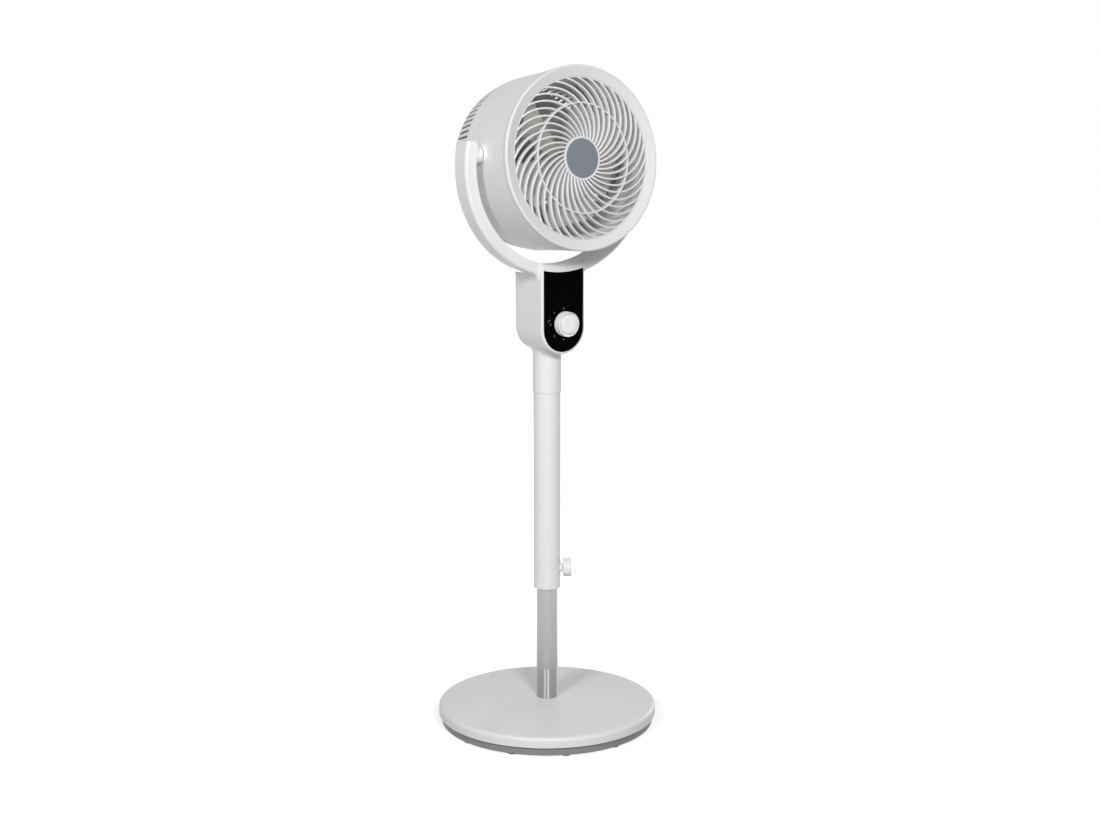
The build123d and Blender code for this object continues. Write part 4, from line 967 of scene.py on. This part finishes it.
    def build(self) -> None:
        """Makes the grille and dresses it."""
        maker = MeshMaker(self.place)
        for number in range(self.rib_count):
            self.rib(maker, self.rib_turn + 2 * pi * number / self.rib_count)
        self.ring(maker)
        self.cup(maker)
        self.rim(maker)
        settle(maker.build("grille"), BEZEL_SHADED_WHITE, Body.HEAD, "front_grille")


@dataclass(frozen=True)
class BladeSection:
    """One cut through the blade, square to its span."""

    distance: float
    chord: float
    pitch: float
    shift: float


@dataclass
class Impeller:
    """The five-bladed impeller: a cup-shaped hub with broad cambered blades.

    Each blade is ruled between two cambered cuts, root and end, and trimmed at the hub and at
    the tip radius.
    """

    blade_count: int = 5
    root: BladeSection = BladeSection(0.012, 0.042, radians(44), 0.0)
    end: BladeSection = BladeSection(0.122, 0.104, radians(24), -0.030)
    tip_radius: float = 0.1104
    middle: float = 0.042
    thickness: float = 0.0024
    camber: float = 0.09
    corner: float = 0.014
    edge_power: int = 6
    thinnest: float = 0.06
    root_fillet: float = 1.6
    root_power: int = 6
    tip_power: int = 24
    hub_radius: float = 0.027
    hub_back: float = 0.020
    hub_front: float = 0.064
    hub_wall: float = 0.003
    hub_edge: float = 0.0006
    boss_radius: float = 0.008
    bore: float = 0.00405
    chord_steps: int = 28
    span_steps: int = 22
    segments: int = 96
    place: Matrix = field(default_factory=lambda: joint_place("impeller_spin"))

    def spot(self, cut: BladeSection, share: float, lift: float) -> Vector:
        """A point of a cut through the blade.

        Args:
            cut: the cut.
            share: the way along the chord, from 0 at one edge to 1 at the other.
            lift: the distance above the blade's middle surface.

        Returns:
            The point in the impeller's own coordinates.
        """
        along = (share - 0.5) * cut.chord
        across = lift - self.camber * cut.chord * (1 - (2 * share - 1) ** 2)
        side = cut.shift + along * cos(cut.pitch) - across * sin(cut.pitch)
        rise = self.middle + along * sin(cut.pitch) + across * cos(cut.pitch)
        return Vector((cut.distance, side, rise))

    def reach(self, share: float, radius: float) -> float:
        """How far along the span the middle surface crosses a radius about the axis.

        Args:
            share: the way along the chord.
            radius: the radius.

        Returns:
            The way along the span, where 0 is the root cut and 1 the end cut.
        """
        start, end = self.spot(self.root, share, 0.0), self.spot(self.end, share, 0.0)
        run = end - start
        a = run.x**2 + run.y**2
        b = start.x * run.x + start.y * run.y
        c = start.x**2 + start.y**2 - radius**2
        return (sqrt(b * b - a * c) - b) / a

    def tip(self, share: float) -> float:
        """Finds the blade's outer radius, whose two corners are rounded off.

        Args:
            share: the way along the chord.

        Returns:
            The radius about the axis.
        """
        edge = min(share, 1 - share) * self.end.chord
        if edge >= self.corner:
            return self.tip_radius
        short = self.corner - sqrt(self.corner**2 - (self.corner - edge) ** 2)
        return self.tip_radius - short

    def blade(self, maker: MeshMaker, turn: float) -> None:
        """Adds one blade, thick at its root and thin at its edges.

        Args:
            maker: the mesh that it is added to.
            turn: the blade's angle about the axis, in radians.
        """
        spin = Matrix.Rotation(turn, 4, "Z")
        shares = [0.5 - 0.5 * cos(pi * i / self.chord_steps) for i in range(self.chord_steps + 1)]
        rings = []
        for step in range(self.span_steps + 1):
            out = step / self.span_steps
            lower, upper = [], []
            for share in shares:
                root = self.reach(share, self.hub_radius - self.hub_wall / 2)
                tip = self.reach(share, self.tip(share))
                along = root + (tip - root) * out
                lift = self.half_thickness(share, out)
                for side, row in ((lift, upper), (-lift, lower)):
                    start, end = self.spot(self.root, share, side), self.spot(self.end, share, side)
                    row.append(spin @ start.lerp(end, along))
            rings.append(maker.ring(upper + lower[::-1]))
        maker.skin(rings)

    def half_thickness(self, share: float, out: float) -> float:
        """Half the blade's thickness, which swells at the root and thins to rounded edges.

        Args:
            share: the way along the chord.
            out: the way along the span.

        Returns:
            Half the thickness.
        """
        round_edge = sqrt(max(0.0, 1 - (2 * share - 1) ** self.edge_power))
        tip_edge = sqrt(max(0.0, 1 - out**self.tip_power))
        fillet = self.root_fillet * (1 - out) ** self.root_power
        return self.thickness / 2 * (1 + fillet) * max(self.thinnest, round_edge * tip_edge)

    def hub(self, maker: MeshMaker) -> None:
        """Adds the hub, a cup with a boss for the motor's shaft.

        Args:
            maker: the mesh that it is added to.
        """
        wall = self.hub_wall
        inner = self.hub_radius - wall
        floor = self.hub_front - wall
        outline = [
            (self.bore, self.hub_back),
            (self.bore, self.hub_front),
            (self.hub_radius, self.hub_front),
            (self.hub_radius, self.hub_back),
            (inner, self.hub_back),
            (inner, floor),
            (self.boss_radius, floor),
            (self.boss_radius, self.hub_back),
        ]
        edge = self.hub_edge
        radii = [0, 0, wall, edge, edge, wall / 3, wall / 3, 0]
        maker.lathe(rounded(outline, radii), self.segments)

    def build(self) -> None:
        """Makes the impeller and dresses it."""
        maker = MeshMaker(self.place)
        self.hub(maker)
        for number in range(self.blade_count):
            self.blade(maker, 2 * pi * number / self.blade_count)
        settle(maker.build("impeller_wheel"), LIT_CREAM, Body.IMPELLER, "impeller")


@dataclass
class SpeedDial:
    """The knob on the control panel: a fluted body with a groove in its face round a smooth cap.

    Heights run out from the panel along the dial's axis, from its joint's place.
    """

    foot_radius: float = 0.0174
    foot_height: float = 0.0034
    back: float = 0.0004
    body_radius: float = 0.0188
    rim_front: float = 0.0144
    groove_radius: float = 0.0174
    groove_depth: float = 0.0045
    cap_radius: float = 0.0136
    length: float = 0.0152
    centre: float = 0.0003
    dish: float = 0.0004
    edge: float = 0.0008
    well_radius: float = 0.009
    well_depth: float = 0.0026
    flutes: int = 40
    flute_depth: float = 0.0006
    segments: int = 400
    place: Matrix = field(default_factory=lambda: joint_place("dial_turn"))

    def profile(self) -> list[tuple[float, float, float]]:
        """Lists the dial's outline, from its well round its body, groove and cap to its centre.

        Returns:
            The radius, the height and the share of the flutes' depth at each point.
        """
        body, cap, edge = self.body_radius, self.cap_radius, self.edge
        groove, soft = self.rim_front - self.groove_depth, 0.3 * self.edge
        return [
            (self.well_radius, self.back + self.well_depth, 0.0),
            (self.well_radius, self.back, 0.0),
            (self.foot_radius, self.back, 0.0),
            (body - soft, self.foot_height - edge, 0.0),
            (body, self.foot_height, 0.3),
            (body, self.foot_height + edge, 1.0),
            (body, self.rim_front - 2 * edge, 1.0),
            (body - soft, self.rim_front - soft, 0.4),
            (body - edge, self.rim_front, 0.0),
            (self.groove_radius + soft, self.rim_front, 0.0),
            (self.groove_radius, self.rim_front - soft, 0.0),
            (self.groove_radius, groove, 0.0),
            (cap + soft, groove, 0.0),
            (cap, groove + soft, 0.0),
            (cap, self.length - edge, 0.0),
            (cap - soft, self.length - soft, 0.0),
            (cap - edge, self.length, 0.0),
            (0.7 * cap, self.length - 0.3 * self.dish, 0.0),
            (0.35 * cap, self.length - 0.8 * self.dish, 0.0),
            (self.centre, self.length - self.dish, 0.0),
            (self.centre, self.back + self.well_depth, 0.0),
        ]

    def build(self) -> None:
        """Makes the dial and dresses it."""
        maker = MeshMaker(self.place)
        rings = []
        for step in range(self.segments):
            turn = 2 * pi * step / self.segments
            wave = self.flute_depth * (0.5 - 0.5 * cos(self.flutes * turn))
            rings.append(
                maker.ring(
                    Vector(((r - share * wave) * cos(turn), (r - share * wave) * sin(turn), z))
                    for r, z, share in self.profile()
                )
            )
        maker.skin(rings, looped=True)
        settle(maker.build("dial"), DIAL_WHITE, Body.SPEED_DIAL, "speed_dial")


@dataclass(frozen=True)
class Mark:
    """One plain sign on the panel, at an angle from the top and a radius about the dial."""

    name: str
    sign: str
    angle: float
    radius: float


@dataclass
class PanelMarks:
    """Plain numbers and bars printed on the panel round the dial."""

    size: float = 0.0040
    ink: float = 0.00004
    marks: tuple[Mark, ...] = (
        Mark("off", "0", 0.0, 0.0225),
        Mark("low", "1", radians(45), 0.0245),
        Mark("middle", "2", radians(90), 0.0240),
        Mark("high", "3", radians(135), 0.0245),
        Mark("full", "4", radians(180), 0.0240),
        Mark("swing_bars", "=", radians(76), 0.0262),
        Mark("swing_top", "-", radians(66), 0.0275),
        Mark("swing_side", "|", radians(80), 0.0290),
    )

    def build(self) -> None:
        """Prints every mark in its place round the dial."""
        dial = joint_place("dial_turn").translation
        for mark in self.marks:
            out = Vector((-sin(mark.angle), 0.0, cos(mark.angle)))
            self.print_sign(mark, dial + out * mark.radius)

    def print_sign(self, mark: Mark, spot: Vector) -> None:
        """Prints one mark as a thin raised film.

        Args:
            mark: what is printed.
            spot: its middle, in the frame's coordinates.
        """
        curve = bpy.data.curves.new(mark.name, "FONT")
        curve.body = mark.sign
        curve.size = self.size
        curve.extrude = self.ink
        curve.align_x = "CENTER"
        curve.align_y = "CENTER"
        writing = bpy.data.objects.new(curve.name, curve)
        film = bpy.data.meshes.new_from_object(writing)
        printed = bpy.data.objects.new("mark_" + mark.name, film)
        bpy.data.objects.remove(writing)
        bpy.context.scene.collection.objects.link(printed)
        printed.matrix_world = Matrix.Translation(spot) @ Matrix.Rotation(pi / 2, 4, "X")
        settle(printed, INK, Body.YOKE)


# ---------------------------------------------------------------- studio


def stand(bearing: float, distance: float, height: float) -> Vector:
    """Places a lamp or camera round the fan.

    Args:
        bearing: the angle from the fan's front, towards its right.
        distance: the distance from the pole's axis.
        height: the height above the floor.

    Returns:
        The place, in the frame's coordinates.
    """
    return Vector((sin(bearing) * distance, -cos(bearing) * distance, height))


@dataclass(frozen=True)
class SoftBox:
    """A square lamp that points at the middle of the fan."""

    name: str
    bearing: float
    distance: float
    height: float
    size: float
    level: float

    def build(self, target: Vector) -> None:
        """Makes the lamp.

        Args:
            target: the point that it shines at.
        """
        spot = stand(self.bearing, self.distance, self.height)
        lamp = bpy.data.lights.new(self.name, "AREA")
        lamp.shape = "SQUARE"
        lamp.size = self.size
        # With this energy a white face square to the lamp renders at the level, from any distance.
        lamp.energy = self.level * pi**2 * (spot - target).length_squared
        holder = bpy.data.objects.new(self.name, lamp)
        holder.location = spot
        holder.rotation_euler = (target - spot).to_track_quat("-Z", "Y").to_euler()
        bpy.context.scene.collection.objects.link(holder)


@dataclass
class Studio:
    """A pale floor that fades to white, soft lamps and the camera at the photograph's place.

    The floor's own colour takes the fan's shadow. floor_lift is the glow that is added to it where
    it is seen, and fade_lift the glow added to that between fade_start and fade_end from the axis.
    """

    floor_radius: float = 6.0
    floor_steps: int = 96
    floor_colour: Colour = (0.5, 0.5, 0.5)
    floor_drift: float = 0.5
    floor_mottle: float = 0.01
    floor_roughness: float = 0.9
    floor_lift: float = 0.69
    fade_start: float = 0.19
    fade_end: float = 0.6
    fade_lift: float = 0.6
    world_level: float = 0.2
    lens: float = 63.14
    sensor: float = 36.0
    view_limit: float = 50.0
    camera_distance: float = 2.9
    camera_height: float = 1.05968
    camera_bearing: float = radians(-34.97)
    camera_pan: float = radians(-0.09)
    camera_tilt: float = radians(11.04)
    lamp_target: Point = (0.0, 0.0, 0.6)
    lamps: tuple[SoftBox, ...] = (
        SoftBox("key_right", radians(-22), 3.0, 2.1, 0.6, 0.50),
        SoftBox("key_left", radians(-60), 3.0, 2.1, 0.6, 0.40),
        SoftBox("fill_back", radians(108), 3.2, 1.1, 1.2, 0.2),
    )

    def camera(self) -> None:
        """Makes the camera at the photograph's place."""
        data = bpy.data.cameras.new("camera")
        data.lens = self.lens
        data.sensor_width = self.sensor
        data.clip_end = self.view_limit
        holder = bpy.data.objects.new("camera", data)
        holder.location = stand(self.camera_bearing, self.camera_distance, self.camera_height)
        holder.rotation_euler = (
            pi / 2 - self.camera_tilt,
            0.0,
            self.camera_bearing + self.camera_pan,
        )
        bpy.context.scene.collection.objects.link(holder)
        bpy.context.scene.camera = holder

    def seen(self, nodes: bpy.types.Nodes, links: bpy.types.NodeLinks) -> bpy.types.NodeSocket:
        """Adds a value that is 1 for rays from the camera, a mirror or a glass, and 0 otherwise.

        Args:
            nodes: the nodes of a material or the world.
            links: their links.

        Returns:
            The value's socket.
        """
        paths = nodes.new("ShaderNodeLightPath")
        first, second = nodes.new("ShaderNodeMath"), nodes.new("ShaderNodeMath")
        first.operation = second.operation = "MAXIMUM"
        links.new(paths.outputs["Is Camera Ray"], first.inputs[0])
        links.new(paths.outputs["Is Glossy Ray"], first.inputs[1])
        links.new(first.outputs["Value"], second.inputs[0])
        links.new(paths.outputs["Is Transmission Ray"], second.inputs[1])
        return second.outputs["Value"]

    def backdrop(self) -> None:
        """Makes a world that is white where it is seen and lights the fan at a plain level."""
        world = bpy.data.worlds.new("studio")
        bpy.context.scene.world = world
        world.use_nodes = True
        nodes, links = world.node_tree.nodes, world.node_tree.links
        light = nodes["Background"]
        light.inputs["Color"].default_value = (1.0, 1.0, 1.0, 1.0)
        light.inputs["Strength"].default_value = self.world_level
        white = nodes.new("ShaderNodeBackground")
        white.inputs["Color"].default_value = (1.0, 1.0, 1.0, 1.0)
        white.inputs["Strength"].default_value = 1.0
        mix = nodes.new("ShaderNodeMixShader")
        links.new(self.seen(nodes, links), mix.inputs["Fac"])
        links.new(light.outputs["Background"], mix.inputs[1])
        links.new(white.outputs["Background"], mix.inputs[2])
        links.new(mix.outputs["Shader"], nodes["World Output"].inputs["Surface"])

    def floor(self) -> None:
        """Makes the floor, which keeps the fan's shadow and is white round it."""
        maker = MeshMaker()
        turns = [2 * pi * step / self.floor_steps for step in range(self.floor_steps)]
        edge = [Vector((cos(turn), sin(turn), 0.0)) * self.floor_radius for turn in turns]
        maker.mesh.faces.new(maker.ring(edge))
        piece = maker.build("floor")
        piece.data.materials.append(self.floor_material())

    def floor_material(self) -> bpy.types.Material:
        """Makes a matt floor that looks lit up to white, more so further from the fan.

        Returns:
            The floor's material.
        """
        graph = ShaderGraph("pale floor")
        drift = graph.spread(graph.noise(self.floor_drift), 0.0, 1.0)
        low = shade(self.floor_colour, 1 - self.floor_mottle)
        pale = graph.tint(drift, low, self.floor_colour)
        graph.join(pale, graph.shader.inputs["Base Color"])
        graph.shader.inputs["Roughness"].default_value = self.floor_roughness
        graph.shader.inputs["Specular IOR Level"].default_value = 0.0
        away = graph.add("ShaderNodeVectorMath")
        away.operation = "LENGTH"
        graph.join(graph.place, away.inputs[0])
        full = self.floor_lift + self.fade_lift
        lift = graph.spread(
            away.outputs["Value"], self.floor_lift, full, self.fade_start, self.fade_end
        )
        nodes, links = graph.tree.nodes, graph.tree.links
        level = graph.add("ShaderNodeMath")
        level.operation = "MULTIPLY"
        graph.join(self.seen(nodes, links), level.inputs[0])
        graph.join(lift, level.inputs[1])
        glow = graph.add("ShaderNodeEmission")
        graph.join(level.outputs["Value"], glow.inputs["Strength"])
        both = graph.add("ShaderNodeAddShader")
        graph.join(graph.shader.outputs["BSDF"], both.inputs[0])
        graph.join(glow.outputs["Emission"], both.inputs[1])
        graph.join(both.outputs["Shader"], nodes["Material Output"].inputs["Surface"])
        return graph.material

    def build(self) -> None:
        """Makes the studio round the fan."""
        for lamp in self.lamps:
            lamp.build(Vector(self.lamp_target))
        self.backdrop()
        self.floor()
        self.camera()
        bpy.context.scene.view_settings.view_transform = "Standard"
        log.info("studio: %d lamps, a floor and a camera", len(self.lamps))


# ---------------------------------------------------------------- the whole fan


def dress_frame() -> None:
    """Gives every CAD node that stays in view its finish."""
    for finish, names in NODE_FINISHES.items():
        for name in names:
            dress(frame["nodes"][name], finish)
        log.info("%s: %d nodes", finish.name, len(names))


def main() -> None:
    """Builds the fan's looks and the studio."""
    logging.basicConfig(level=logging.INFO, format="%(message)s")
    dress_frame()
    for part in (FrontGrille(), Impeller(), SpeedDial(), PanelMarks(), Studio()):
        part.build()


if __name__ == "__main__":
    main()
